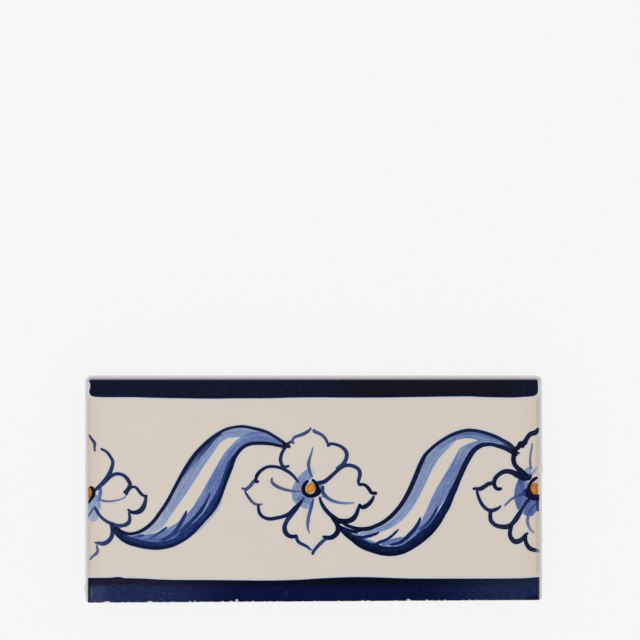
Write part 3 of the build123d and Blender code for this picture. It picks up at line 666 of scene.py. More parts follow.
class Section:
    """Level slices through the tile, in millimetres; each slice's outline is one ring of the mesh."""

    columns, rows = 360, 180  # grid of the face
    thinning = 3  # face-grid steps to one step of the plain lower rings and of the back
    cut_crowding, crowding_power = 0.5, 8  # how much closer the rows lie at the saw cut, and how soon
    ring_steps = 7  # rings of the arris, and as many of the bare wall
    wall_curve = 1.8  # power by which the bare wall runs out to the ridge
    wear_curve = 3  # power by which the ridge's wear grows down the wall
    nose = ((0.0, 2.90, 1.0), (0.03, 2.70, 0.8), (0.10, 2.52, 0.4))  # inset, height, share of the wear
    back_corner = ((0.14, 2.20), (0.50, 0.50), (0.58, 0.36), (0.95, 0.0))  # inset, height
    face_fall, arris_fall = 0.04, 0.03  # how far the face and the arris's start lie below the box's top
    chip_slope, deepest_chip = 1.1, 1.2
    nibble_seed, nibble_wavelengths = 12, (0.5, 2.2)
    least_nibble, nibble_gain, nibble_level = 0.04, 0.32, 0.45
    radius_loss, least_radius = 0.55, 0.7  # the corners of the inner slices are rounded less

    def __init__(self, shape):
        self.half = (BOX_HIGH[0] - BOX_LOW[0]) / 2
        self.top = BOX_HIGH[1]
        self.bottom = BOX_LOW[1]
        self.box_top = BOX_HIGH[2]
        self.size = {name: getattr(shape, name) / MM for name in shape.__annotations__}
        self.face_inset = self.size["glaze_line"] + self.size["shoulder"]
        self.arris_start = self.box_top - self.arris_fall
        self.column = np.linspace(-1, 1, self.columns + 1)
        t = np.linspace(0, 1, self.rows + 1)
        self.row = t * (1 - self.cut_crowding * (1 - t) ** self.crowding_power)

    def cut(self, x):
        """The saw cut's line: y for a given x."""
        return self.bottom + self.size["cut_rise"] * (x + self.half) / (2 * self.half)

    def chip_depth(self, x, y):
        """How far a vertex lies inside a chip, measured across the face; negative outside.

        The chips reach as far as a half-ellipse for each chip, and as the fine nibbles between them.
        """
        nibbles = noise_on_loop(x, 2 * self.half, self.nibble_seed, self.nibble_wavelengths)
        reach = self.least_nibble + self.nibble_gain * np.clip(nibbles - self.nibble_level, 0, None)
        for middle, half_length, depth in CHIPS:
            share = np.clip(1 - ((x - middle) / half_length) ** 2, 0, None)
            reach = np.maximum(reach, depth * np.sqrt(share))
        return reach - (y - self.cut(x))

    def face_relief(self, x, y):
        """The face: level, with slow waves in the glaze, falling away in the chips.

        The waves are two crossed sines, 71 and 57 mm long, the first bent by a third, with a slanting
        sine of 0.6 their height added and the sum held between -1 and 1.
        """
        wave = np.sin(x / 11.3 + 1.3 * np.sin(y / 17.0)) * np.sin(y / 9.1 + 0.8)
        wave = np.clip(wave + 0.6 * np.sin((x - 2 * y) / 23.0), -1, 1)
        chipped = np.minimum(self.chip_slope * np.clip(self.chip_depth(x, y), 0, None), self.deepest_chip)
        return self.box_top - self.face_fall + self.size["glaze_wave"] * wave - chipped

    def round_corners(self, x, y, inset):
        """Turns a slice's two square top corners into round ones.

        In a corner's own square a place is (p, q), each from 0 to 1; it is pulled in by the greater
        of the two over their root of squares, so that the square's rim lands on the arc.
        """
        radius = max(self.size["corner_radius"] - self.radius_loss * inset, self.least_radius)
        start_x, start_y = self.half - inset - radius, self.top - inset - radius
        p, q = (np.abs(x) - start_x) / radius, (y - start_y) / radius
        corner = (p > 0) & (q > 0)
        root = np.hypot(np.where(corner, p, 1), np.where(corner, q, 1))
        pull = np.where(corner, np.maximum(p, q) / root, 1) * radius
        new_x = np.where(corner, np.sign(x) * (start_x + p * pull), x)
        return new_x, np.where(corner, start_y + q * pull, y)

    def outline(self, inset, x_of_column, row):
        """A slice's outline, anticlockwise from the sawn left-hand corner."""
        half, top = self.half - inset, self.top - inset
        side_y = self.cut(half) + (top - self.cut(half)) * row
        left_y = self.cut(-half) + (top - self.cut(-half)) * row
        side = np.full(len(row) - 1, half)
        x = np.r_[x_of_column[:-1], side, x_of_column[:0:-1], -side]
        level = np.full(len(x_of_column) - 1, top)
        y = np.r_[self.cut(x_of_column[:-1]), side_y[:-1], level, left_y[:0:-1]]
        return self.round_corners(x, y, inset)

    def upper_rings(self):
        """The rings of the arris, the bare wall and the ridge: inset, height, share of the wear."""
        size = self.size
        turn = np.radians(np.linspace(0, 90, self.ring_steps + 1)[1:])
        inset = size["glaze_line"] + size["shoulder"] * (1 - np.sin(turn))
        height = self.arris_start - size["glaze_drop"] * (1 - np.cos(turn))
        arris = np.stack((inset, height, 0 * turn), 1)
        fall = np.linspace(0, 1, self.ring_steps + 1)[1:]
        inset = size["glaze_line"] * (1 - fall**self.wall_curve)
        height = height[-1] + (size["ridge_height"] - height[-1]) * fall
        wall = np.stack((inset, height, fall**self.wear_curve), 1)
        return np.vstack((arris, wall, self.nose))


def noise_on_loop(place, around, seed, wavelengths):
    """Smooth seeded noise round a closed path: 14 sines that each fit it a whole number of times."""
    shortest, longest = wavelengths
    draw = np.random.default_rng(seed)
    total = np.zeros_like(place)
    for wavelength in np.geomspace(longest, shortest, 14):
        turns = round(around / (wavelength * draw.uniform(0.85, 1.15)))
        total += draw.uniform(0.6, 1.0) * np.sin(2 * np.pi * (turns * place / around + draw.uniform()))
    return total / 3


def ridge_bumps(x, y):
    """Where the pressed clay stands proud of the wall: 1 at the middle of a bump, 0 elsewhere."""
    bumps = 0
    for end, middle, half_length in RIDGE_BUMPS:
        at_end = ease(end * x, END_START, END_FULL)
        bumps = bumps + at_end * np.exp(-(((y - middle) / half_length) ** 2))
    return np.clip(bumps, 0, 1)


def ridge_wear(section, x, y):
    """How far the parting ridge is broken back, round its outline, with the bumps left proud.

    It is ragged everywhere, more so towards the top right corner, and broken right off where the
    two ends meet the saw cut.
    """
    around = 450  # about the length of the outline
    seed, wavelengths = 5, (0.9, 9.0)
    least, raggedness, corner_extra = 0.12, 0.10, 0.14
    usual_wear = 0.3  # at which these depths hold
    broken_depth = 0.95
    place = np.arctan2(y, x) / (2 * np.pi) * around
    noise = noise_on_loop(place, around, seed, wavelengths)
    ragged = least + raggedness * np.clip(noise + 0.4, 0, 2)
    ends = ease(np.abs(x), END_START, END_FULL)
    ragged += corner_extra * ends * (x > 0) * ease(y, 12, 34)
    ragged *= 1 - ridge_bumps(x, y)
    broken = ends * (1 - ease(y - section.cut(x), 0.5, 2.4))
    return ragged * section.size["ridge_wear"] / usual_wear + broken_depth * broken


def border(ids):
    """The vertices round a grid of them, anticlockwise from its first corner."""
    return np.r_[ids[0, :-1], ids[:-1, -1], ids[-1, :0:-1], ids[:0:-1, 0]]


def grid_quads(ids):
    corners = (ids[:-1, :-1], ids[:-1, 1:], ids[1:, 1:], ids[1:, :-1])
    return np.stack([corner.ravel() for corner in corners], 1)


def ring_quads(rings):
    """The polygons between each ring of vertices and the next."""
    return np.vstack([
        np.stack((upper, lower, np.roll(lower, -1), np.roll(upper, -1)), 1)
        for upper, lower in zip(rings, rings[1:])
    ])


def worn_ring(section, inset, wear):
    """A ring's x and y, broken back by its share of the ridge's wear.

    The ends of the sawn side go with the walls that they meet, and the vertices between are spread
    evenly over what is left of the cut.
    """
    columns, rows = section.columns, section.rows
    top_reach = 6  # only this near the top are the top wall's vertices worn
    bump_fill = 0.95  # share of the inset that a bump fills
    x, y = section.outline(inset, (section.half - inset) * section.column, section.row)
    if not wear:
        return x, y
    inward = wear * ridge_wear(section, x, y) - bump_fill * inset * ridge_bumps(x, y)
    place = np.arange(len(x))
    upright = (place >= columns) & (place <= columns + rows) | (place >= 2 * columns + rows)
    upright[0] = True
    level = (place >= columns + rows) & (place <= 2 * columns + rows + 1)
    x = x - np.sign(x) * inward * upright
    y = y - inward * level * (y > section.top - top_reach)
    left, right = section.half - inset - inward[0], section.half - inset - inward[columns]
    x[1:columns] = -left + (left + right) * (section.column[1:-1] + 1) / 2
    y[:columns + 1] = section.cut(x[:columns + 1])
    return x, y


def tile_mesh(section):
    """The tile's closed surface: vertices, quads, triangles, and where the face ends and the back starts.

    The face is a grid. Below it come rings, each the outline of a level slice: the arris is a quarter
    ellipse, the bare wall runs out to the ridge with a power curve, and the ridge has a blunt nose.
    Under the ridge three steps of a ring become one, and the back is a coarser grid whose lines
    follow the hollows. On the sawn side every ring lies in the plane of the cut.
    """
    columns, rows, thin = section.columns, section.rows, section.thinning
    least_step = 0.02  # that each ring keeps below the last one in a chip
    hollow_step = 0.05  # the same, as a share, over the hollows
    points = []

    def add(*coordinates):
        start = sum(map(len, points))
        points.append(np.stack(coordinates, -1).reshape(-1, 3))
        return start + np.arange(len(points[-1]))

    # Face
    half, top = section.half - section.face_inset, section.top - section.face_inset
    grid_x = np.broadcast_to(half * section.column, (rows + 1, columns + 1))
    cut_y = section.cut(grid_x)
    grid_y = cut_y + (top - cut_y) * section.row[:, None]
    grid_x, grid_y = section.round_corners(grid_x, grid_y, section.face_inset)
    grid_z = section.face_relief(grid_x, grid_y)
    face_id = add(grid_x, grid_y, grid_z).reshape(grid_x.shape)

    # Arris, bare wall and ridge
    fine_rings = [border(face_id)]
    edge_z = grid_z.ravel()[fine_rings[0]]
    sawn = np.arange(len(edge_z)) <= columns
    for number, (inset, height, wear) in enumerate(section.upper_rings(), 1):
        x, y = worn_ring(section, inset, wear)
        z = np.where(sawn, np.minimum(height, edge_z - least_step * number), height)
        fine_rings.append(add(x, y, z))

    # Plain rings below, and the back
    back = Back(section)
    coarse_rings = []
    steps_left = len(section.back_corner) - 1
    for number, (inset, height) in enumerate(section.back_corner[:-1]):
        x, y = section.outline(inset, back.column_x(section.half - inset), back.rows_at_side(inset))
        sawn = np.arange(len(x)) <= back.columns
        hollow = np.where(sawn, back.hollow_section(x), 0) * (1 + hollow_step * (steps_left - number))
        coarse_rings.append(add(x, y, np.maximum(height, hollow)))
    back_start = sum(map(len, points))
    back_grid = back.grid(section.back_corner[-1][0])
    back_id = add(*back_grid).reshape(back_grid[0].shape)
    coarse_rings.append(border(back_id))

    rings = (ring_quads(fine_rings), ring_quads(coarse_rings))
    quads = np.vstack((grid_quads(face_id), *rings, grid_quads(back_id)[:, ::-1]))
    fine, coarse = fine_rings[-1], coarse_rings[0]
    first = np.arange(len(coarse)) * thin
    f = [fine[(first + step) % len(fine)] for step in range(thin + 1)]
    after = np.roll(coarse, -1)
    corners = ((f[0], coarse, f[1]), (f[1], coarse, f[2]), (f[2], coarse, after), (f[2], after, f[3]))
    triangles = np.vstack([np.stack(corner, 1) for corner in corners])
    return np.vstack(points), quads, triangles, face_id.size, back_start


class Back:
    """The bare back: a grid whose lines follow the hollows, which the saw cuts open."""

    floor_edge, round_edge = 0.839, 0.921  # where a hollow's floor starts to round, and its wall starts
    round_depth = 0.75  # depth at the wall's start, as a share
    slot_depths = ((0.0, floor_edge, round_edge, 1.0), (1.0, 1.0, round_depth, 0.0))
    across_hollow = (-1.0, -round_edge, -floor_edge, 0.0, floor_edge, round_edge, 1.0)
    end_rows = (0.0, 0.35, 0.70, floor_edge, round_edge, 1.0)
    end_columns = 4  # grid steps between the last hollow and the wall
    straight_rows, land_rows = 44, 11

    def __init__(self, section):
        size = section.size
        self.section = section
        self.columns = section.columns // section.thinning
        self.rows = section.rows // section.thinning
        self.half_key = size["key_width"] / 2
        self.pitch = size["key_pitch"]
        self.count = (self.columns - 2 * self.end_columns) // (len(self.across_hollow) + 1)
        self.end_centre = section.top - size["key_end"] - self.half_key
        lines = np.array((-self.pitch / 2 / self.half_key, *self.across_hollow))
        middles = (np.arange(self.count) - (self.count - 1) / 2) * self.pitch
        self.keyed = (middles[:, None] + self.half_key * lines).ravel()
        self.keyed = np.r_[self.keyed, middles[-1] + self.pitch / 2]

    def column_x(self, half):
        """The columns' x: fixed over the hollows, and evenly spread from the last hollow to the wall."""
        reach = self.keyed[-1]
        outer = reach + (half - reach) * np.arange(1, self.end_columns + 1) / self.end_columns
        return np.r_[-outer[::-1], self.keyed, outer]

    def rows_at_side(self, inset):
        """The rows' heights at the side walls, as shares of the way from the cut to the top."""
        top = self.section.top - inset
        cut = self.section.bottom
        straight = cut + (self.end_centre - cut) * np.arange(self.straight_rows) / self.straight_rows
        ends = self.end_centre + self.half_key * np.array(self.end_rows)
        land = ends[-1] + (top - ends[-1]) * np.arange(1, self.land_rows + 1) / self.land_rows
        return (np.r_[straight, ends, land] - cut) / (top - cut)

    def offset(self, x):
        """The place across a hollow, as a share of its half width; beyond 1 is the land."""
        across = (x / self.pitch + self.count / 2) % 1 - 0.5
        return np.where(np.abs(x) < self.keyed[-1], across * self.pitch / self.half_key, FAR)

    def hollow_section(self, x):
        """Height of the back at the saw cut: the hollows' lean walls and floors."""
        depth = self.section.size["key_depth"]
        return depth * np.interp(np.abs(self.offset(x)), *self.slot_depths, right=0.0)

    def grid(self, inset):
        """The back's x, y and z. A hollow's end is its square of grid drawn into a half disc.

        A place in it is (p, q) in half widths from the end's centre. It is pulled in by the greater
        of |p| and q over their root of squares, and the greater alone gives its depth.
        """
        section = self.section
        slack = 1.0001  # so that a line on a hollow's rim counts as within it
        top = section.top - inset
        x = np.broadcast_to(self.column_x(section.half - inset), (self.rows + 1, self.columns + 1))
        cut = section.cut(x)
        level = section.bottom + (top - section.bottom) * self.rows_at_side(inset)[:, None]
        run = (self.end_centre - cut) / (self.end_centre - section.bottom)
        y = np.where(level < self.end_centre, cut + (level - section.bottom) * run, level)
        p = self.offset(x)
        q = (y - self.end_centre) / self.half_key
        in_hollow = (np.abs(p) <= slack) & (q <= slack)
        in_end = in_hollow & (q > 0)
        greater = np.maximum(np.abs(p), np.maximum(q, 0))
        pull = self.half_key * greater / np.where(in_end, np.hypot(p, q), 1)
        new_x = np.where(in_end, x - p * self.half_key + p * pull, x)
        new_y = np.where(in_end, self.end_centre + q * pull, y)
        z = np.where(in_hollow, section.size["key_depth"] * np.interp(greater, *self.slot_depths), 0)
        return (*section.round_corners(new_x, new_y, inset), z)


def bake_map(vertices, loops, normals, section):
    """UVs, one for each corner: the face takes the upper half of the map, the back and walls the rest.

    Each part is laid flat by dropping two of its coordinates onto the map at the part's own scale.
    The walls are strips under each other: the sawn side, the pressed top and the two ends.
    """
    margin, middle = 0.005, 0.505
    strip_tops = {"sawn": 0.485, "top": 0.425, "ends": 0.355}
    scale = 0.99 / (2 * section.half)
    back_scale, end_scale = 0.56 * scale, 0.98 * scale
    up_from, down_from, across_from = 0.8, -0.6, 0.6  # parts of the normals that tell the sides apart
    x, y, z = vertices[loops].T
    ny, nz = normals[:, 1:].T
    from_cut = y - section.bottom
    wall_v = (section.box_top - z) * scale
    down = nz < down_from
    wall = ~(nz > up_from) & ~down
    sawn, top = wall & (ny < -across_from), wall & (ny > across_from)
    ends = wall & ~sawn & ~top
    sides = (
        (down, margin + (x + section.half) * back_scale, margin + from_cut * back_scale),
        (sawn, 0.5 + x * scale, strip_tops["sawn"] - wall_v),
        (top, 0.5 + x * scale, strip_tops["top"] - wall_v - (y - section.top) * scale),
        (ends, np.where(x < 0, margin, middle) + from_cut * end_scale,
         strip_tops["ends"] - wall_v - (np.abs(x) - section.half) * scale),
    )
    u, v = 0.5 + x * scale, middle + from_cut * scale
    for side, side_u, side_v in sides:
        u, v = np.where(side, side_u, u), np.where(side, side_v, v)
    return np.stack((u, v), 1)


def surface_facts(vertices, section, face_count, back_start):
    """What the material must know: (bare clay, depth under the face at the cut, to the edge, stain and
    painted shade).

    Bare clay is a distance: positive where there is no glaze. On the face it is the chips, on the
    walls how far below the glaze line, and on the sawn side how far under the glaze's thickness.
    The last value darkens the bare clay beside the glaze, as a glaze stain with painted shade of the steep
    wall, and more along the top edge, as painted shade alone; below 0, where the ridge bulges, it is
    painted light.
    """
    glaze_thickness, deepest, least_bare, right_shift = 0.35, 3.0, -0.8, 0.4
    at_cut_reach, corner_reach = 0.02, 0.6
    stain_and_shade_strength, bump_light_strength = 0.65, 1.6
    stain_and_shade_fade, top_shade_fade = (0.4, 2.9), (2.4, 1.8)
    x, y, z = vertices.T
    to_side = section.half - np.abs(x)
    to_edge = np.minimum(to_side - right_shift * (x > 0), section.top - y)
    chip = section.chip_depth(x, y)
    below_line = section.arris_start - section.size["glaze_drop"] - z
    number = np.arange(len(x))
    on_face, on_back = number < face_count, number >= back_start
    bare = np.where(on_face, chip, np.maximum(below_line, least_bare))
    at_cut = (np.abs(y - section.cut(x)) < at_cut_reach) & ~on_face
    at_cut &= to_side > section.face_inset - corner_reach
    under = section.box_top - section.face_fall - z
    bare = np.where(at_cut, np.maximum(under - glaze_thickness, chip), bare)
    bare = np.where(on_back, deepest, np.clip(bare, -deepest, deepest))
    # Painted shade along the top edge, and a glaze stain with painted shade beside the glaze line
    painted_top_shade = ease(y, *(section.top - mark for mark in top_shade_fade))
    stain_and_shade = stain_and_shade_strength * (1 + painted_top_shade) * (1 - ease(below_line, *stain_and_shade_fade))
    # Painted light: the clay of the ridge's bumps is made lighter
    stain_and_shade = stain_and_shade - bump_light_strength * ridge_bumps(x, y)
    stain_and_shade = np.where(on_face | at_cut | on_back, 0.0, stain_and_shade)
    return np.stack((bare, np.where(at_cut, under, 0.0), to_edge, stain_and_shade), 1)


def build_object(name, vertices, quads, triangles):
    """A mesh object from whole arrays, smooth except where two faces meet at a clear angle."""
    sharp_from = 38  # degrees
    mesh = bpy.data.meshes.new(name)
    mesh.vertices.add(len(vertices))
    mesh.vertices.foreach_set("co", (vertices * MM).astype(np.float32).ravel())
    loops = np.r_[quads.ravel(), triangles.ravel()]
    starts = np.r_[np.arange(len(quads)) * 4, len(quads) * 4 + np.arange(len(triangles)) * 3]
    mesh.loops.add(len(loops))
    mesh.loops.foreach_set("vertex_index", loops.astype(np.int32))
    mesh.polygons.add(len(starts))
    mesh.polygons.foreach_set("loop_start", starts.astype(np.int32))
    mesh.update(calc_edges=True)
    mesh.validate()
    if len(mesh.polygons) != len(starts):
        raise RuntimeError("the tile's surface has faces that Blender refused")
    mesh.polygons.foreach_set("use_smooth", np.ones(len(starts), bool))
    mesh.set_sharp_from_angle(angle=math.radians(sharp_from))
    obj = bpy.data.objects.new(name, mesh)
    bpy.context.scene.collection.objects.link(obj)
    return obj, loops


def add_attribute(mesh, name, values):
    """A four-part value on every vertex, which the material reads by name."""
    layer = mesh.attributes.new(name, "FLOAT_COLOR", "POINT")
    layer.data.foreach_set("color", values.astype(np.float32).ravel())


class Wire:
    """A shader socket that can be used in sums: each operator adds the Math node that does it."""

    def __init__(self, tree, socket=None):
        self.tree, self.socket = tree, socket

    def node(self, kind, settings=None, inputs=None, output=0):
        """Adds a node of any type: its settings first, then its sockets' values or links."""
        made = self.tree.nodes.new("ShaderNode" + kind)
        for key, value in (settings or {}).items():
            setattr(made, key, value)
        for key, value in (inputs or {}).items():
            if isinstance(value, Wire):
                self.tree.links.new(value.socket, made.inputs[key])
            else:
                made.inputs[key].default_value = value
        return Wire(self.tree, made.outputs[output] if made.outputs else None)

    def output(self, name):
        """Another output of the same node."""
        return Wire(self.tree, self.socket.node.outputs[name])

    def math(self, operation, *values):
        return self.node("Math", {"operation": operation}, dict(enumerate(values)))

    def __add__(self, other):
        return self.math("ADD", self, other)

    def __sub__(self, other):
        return self.math("SUBTRACT", self, other)

    def __rsub__(self, other):
        return self.math("SUBTRACT", other, self)

    def __mul__(self, other):
        return self.math("MULTIPLY", self, other)

    def __truediv__(self, other):
        return self.math("DIVIDE", self, other)

    __radd__ = __add__
    __rmul__ = __mul__

    def least(self, other):
        return self.math("MINIMUM", self, other)

    def most(self, other):
        return self.math("MAXIMUM", self, other)

    def size(self):
        return self.math("ABSOLUTE", self)

    def held(self):
        """The value, held between 0 and 1."""
        return self.least(1.0).most(0.0)

    def step(self, low, high):
        """0 below the low mark and 1 above the high one, with a smooth S between."""
        return self.node(
            "MapRange", {"interpolation_type": "SMOOTHSTEP"},
            {"Value": self, "From Min": low, "From Max": high, "To Min": 0.0, "To Max": 1.0},
        )

    def blend(self, start, end):
        """A value that goes from start to end as this wire goes from 0 to 1."""
        return self.node("Mix", {"data_type": "FLOAT"}, {0: self, 2: start, 3: end})

    def blend_colours(self, start, end):
        return self.node("Mix", {"data_type": "RGBA"}, {0: self, 6: start, 7: end}, 2)

    def attribute(self, name):
        """The four parts of a vertex attribute."""
        reader = self.node("Attribute", {"attribute_name": name})
        first = self.node("SeparateXYZ", None, {0: reader})
        return first, first.output(1), first.output(2), reader.output("Alpha")

    def noise(self, scale, detail=2.0, roughness=0.5):
        inputs = {"Vector": self, "Scale": scale, "Detail": detail, "Roughness": roughness}
        return self.node("TexNoise", {"noise_dimensions": "3D"}, inputs)

    def ink_ramp(self, colours, paints):
        """The colour of an amount of ink: bare glaze, then the named paints at their amounts."""
        ramp = self.node("ValToRGB", None, {0: self})
        elements = ramp.socket.node.color_ramp.elements
        while len(elements) < len(paints):
            elements.new(1.0)
        for element, amount, name in zip(elements, INK_AMOUNTS, paints):
            element.position = amount
            element.color = (*getattr(colours, name), 1.0)
        return ramp


def empty_tree(owner):
    """A wire to build on, in the emptied node tree of a material or a world."""
    owner.use_nodes = True
    owner.node_tree.nodes.clear()
    return Wire(owner.node_tree)


class FiredTile:
    """The tile's material: the painting in the glaze, and the bare clay where there is none.

    Every layer of paint adds ink, and the most ink counts. Washes and lines have a ramp each from
    bare glaze to black. The strokes' rims are darker, as paint that pools, washes carry the brush's
    streaks, and a faint haze of ink lies round every stroke.
    """

    haze_width, haze_ink = 1.35, 0.125
    line_ragged, line_grain = 0.077, 0.05
    rough_noise = (3.0, 0.6)  # detail and roughness of the clouds and of the streaks

    def __init__(self, start, colours):
        self.start, self.colours = start, colours
        metres = start.node("TexCoord", output="Object")
        self.place = start.node("VectorMath", {"operation": "SCALE"}, {0: metres, "Scale": 1 / MM})
        self.grain = self.place.noise(3.2, 3.0) - 0.5
        self.fine_grain = self.place.noise(9.0) - 0.5
        self.clouds = self.place.noise(0.9, *self.rough_noise) - 0.5
        self.slow = self.place.noise(0.12) - 0.5

    def paint(self, name):
        return (*getattr(self.colours, name), 1.0)

    def over(self, base, share, name):
        """The base with one of the named colours laid over it."""
        return share.blend_colours(base, self.paint(name))

    def haze(self, beyond, layer_ink):
        fade = 1 - (beyond / self.haze_width).held()
        return fade * fade * layer_ink * self.haze_ink

    def wash(self, name, look):
        """A wash layer: how deep inside it a place lies, and its ink there."""
        depth, along, across, layer_ink = self.start.attribute(name)
        cover = (depth + self.grain * look.ragged).step(-look.soft, look.soft)
        amount = layer_ink + self.grain * look.grain
        if look.streaks:
            stretched = {0: along * 0.10, 1: across * 1.5, 2: layer_ink * 7}
            streak = self.start.node("CombineXYZ", None, stretched).noise(1.0, *self.rough_noise) - 0.5
            amount = amount + (streak * 2 + self.clouds) * look.streaks
        if name == "deep":
            amount = amount - across * 0.035 + (self.clouds + self.fine_grain) * 0.14
        if look.rim:
            amount = amount + (1 - depth.step(0.0, 0.5)) * look.rim
        return depth, (cover * amount).most(self.haze(depth * -1, layer_ink))

    def line(self, name, look):
        """A line layer: where it covers the rest, its ink there, and both with its haze."""
        across, half, gate, layer_ink = self.start.attribute(name)
        depth = (half - across.size()).least(gate)
        cover = (depth + self.grain * self.line_ragged).step(-look.soft, look.soft)
        edge = (across.size() / half.most(0.05)).step(0.25, 1.0)
        amount = layer_ink + edge * look.rim + self.grain * self.line_grain + self.clouds * look.clouds
        return cover, amount, (cover * amount).most(self.haze(Painting.gate_margin - gate, layer_ink))

    def glazed(self, on_surface, to_edge):
        """The colour of the glaze and of the painting in it."""
        start, grain, clouds = self.start, self.grain, self.clouds
        pale, middle, deep, band = [self.wash(name, look) for name, look in WASH_LOOKS.items()]
        fan, lift, line, over = [self.line(name, look) for name, look in MARK_LOOKS.items()]
        wash = pale[1].most(middle[1]).most(deep[1]).most(band[1]).most(fan[2])
        wash = lift[0].blend(wash, lift[1])
        lines = line[2].most(over[2])
        ink = wash.most(lines) * on_surface

        reader = start.node("Attribute", {"attribute_name": "band_colour"})
        drawn_share = (lines - wash).step(-0.05, 0.10) * (1 - reader.output("Alpha") * 0.6)
        washes = ink.ink_ramp(self.colours, WASH_PAINTS)
        painted = drawn_share.blend_colours(washes, ink.ink_ramp(self.colours, LINE_PAINTS))
        weave = start.node("VectorMath", {"operation": "MULTIPLY"}, {0: self.place, 1: (0.8, 2.0, 1.0)})
        weave = weave.noise(0.9, *self.rough_noise) - 0.5
        blotches = 1 + clouds * 0.8 + grain * 0.5 + weave * 1.2
        band_colour = start.node("VectorMath", {"operation": "SCALE"}, {0: reader, "Scale": blotches})
        in_band = (band[0] + grain * 0.11).step(0.08, 0.42) * (1 - lift[0])
        painted = (in_band * on_surface).blend_colours(painted, band_colour)

        beside_band = (band[0] + 1.6).step(0.0, 1.3)
        unpainted = (1 - ink.step(0.0, 0.35)) * (1 - beside_band * 0.8)
        # Painted shade, with the glaze thinning: the glaze darker and browner within a few millimetres of
        # the pressed edges
        edge_shade_reach = to_edge + grain * 0.3
        painted = self.over(painted, (1 - edge_shade_reach.step(1.5, 7.0)) * unpainted * 0.7, "warm_glaze_and_edge_shade")
        painted = self.over(painted, (1 - edge_shade_reach.step(1.3, 2.7)) * unpainted, "tan")

        # The glaze is a little brighter to the left, but not at the very end, and slightly mottled.
        along_tile = start.node("SeparateXYZ", None, {0: self.place})
        value = 0.999 - along_tile * 0.00028 - (1 - along_tile.step(-70.0, -58.0)) * 0.013
        value = value + self.slow * 0.04 + self.fine_grain * 0.045
        mottled = start.node("HueSaturation", None, {
            "Hue": 0.5 + self.slow * 0.01, "Saturation": 1.0, "Value": value, "Fac": 1.0, "Color": painted,
        })

        # The flowers' eyes: thin paint is brown, and a thick eye has a whitish rim, the paint's pale edge
        # with a painted highlight that is strongest on its lower left.
        depth, along, _, tone = start.attribute("orange")
        thick = tone + (depth - 0.8) * 0.7 + clouds * 1.6 + grain * 0.8
        eye = thick.step(0.1, 0.9).blend_colours(self.paint("brown"), self.paint("orange"))
        rim = (1 - (depth + grain * 0.5 + clouds * 0.6).step(0.0, 0.5)) * tone.step(0.44, 0.54)
        # The paint's pale edge, with a painted highlight on the lower left
        eye = self.over(eye, rim * (0.7 - along.step(-1.8, 0.6) * 0.5), "eye_rim_highlight")
        in_eye = (depth + grain * 0.22).step(-0.15, 0.15) * on_surface * (1 - ink.step(0.55, 0.8))
        return in_eye.blend_colours(mottled, eye)

    def clay(self, bare, stain_and_shade):
        """The colour of the bare clay: fresh in the chips; darker beside the glaze and along the top edge,
        a glaze stain with painted shade; lighter where the ridge bulges, as painted light; and with the
        painted shade of pits.
        """
        shade = self.place.noise(1.4, 4.0, 0.6)
        clay = (shade * bare.step(-0.1, 0.5)).blend_colours(self.paint("clay"), self.paint("chip"))
        # Bare clay beside the glaze and along the top edge: a glaze stain with painted shade
        clay = self.over(clay, (stain_and_shade * (0.7 + shade * 0.6)).held(), "stain_shade_clay")
        # Painted light where the ridge bulges
        clay = self.over(clay, (stain_and_shade * -1).held(), "painted_light_clay")
        # Painted shade of small pits
        return self.over(clay, (self.fine_grain + 0.5).step(0.62, 0.8) * 0.35, "pit_shade")

    def shader(self):
        bare, depth_at_cut, to_edge, stain_and_shade = self.start.attribute("tile_facts")
        on_surface = 1 - depth_at_cut.step(0.06, 0.12)
        is_clay = (bare + self.grain * 0.18).step(-0.05, 0.05)
        base = is_clay.blend_colours(self.glazed(on_surface, to_edge), self.clay(bare, stain_and_shade))
        relief = is_clay.blend(self.place.noise(0.8) * 0.15, self.place.noise(2.6, 5.0, 0.65))
        bump = self.start.node("Bump", None, {"Strength": 0.6, "Distance": 0.00012, "Height": relief})
        return self.start.node("BsdfPrincipled", None, {
            "Base Color": base, "Roughness": is_clay.blend(0.16, 0.9), "Coat Weight": 1 - is_clay,
            "Coat Roughness": 0.04, "Coat IOR": 1.36, "Specular IOR Level": 0.12, "Normal": bump,
        })


class TILE_OT_painted_tile(bpy.types.Operator):
    """Build the glazed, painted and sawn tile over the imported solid"""

    bl_idname = "tile.painted_tile"
    bl_label = "Painted Tile"

    def execute(self, context):
        colours = context.scene.tile_colours
        section = Section(context.scene.tile_shape)
        vertices, quads, triangles, face_count, back_start = tile_mesh(section)
        obj, loops = build_object("painted_tile", vertices, quads, triangles)
        mesh = obj.data

        normals = np.zeros(len(mesh.polygons) * 3, np.float32)
        mesh.polygons.foreach_get("normal", normals)
        corner_count = np.r_[np.full(len(quads), 4), np.full(len(triangles), 3)]
        corner_normals = np.repeat(normals.reshape(-1, 3), corner_count, axis=0)
        baked = bake_map(vertices, loops, corner_normals, section)
        uv = mesh.uv_layers.new(name="OFBake")
        uv.data.foreach_set("uv", baked.astype(np.float32).ravel())

        x, y = vertices[:, 0], vertices[:, 1]
        for name, values in paint(x, y).layers.items():
            add_attribute(mesh, name, values)
        add_attribute(mesh, "tile_facts", surface_facts(vertices, section, face_count, back_start))
        add_attribute(mesh, "band_colour", band_colours(x, y, colours))

        material = bpy.data.materials.new("painted glaze and clay")
        start = empty_tree(material)
        start.node("OutputMaterial", None, {"Surface": FiredTile(start, colours).shader()})
        mesh.materials.append(material)

        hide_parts("tile")
        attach(obj, "root")
        return {"FINISHED"}


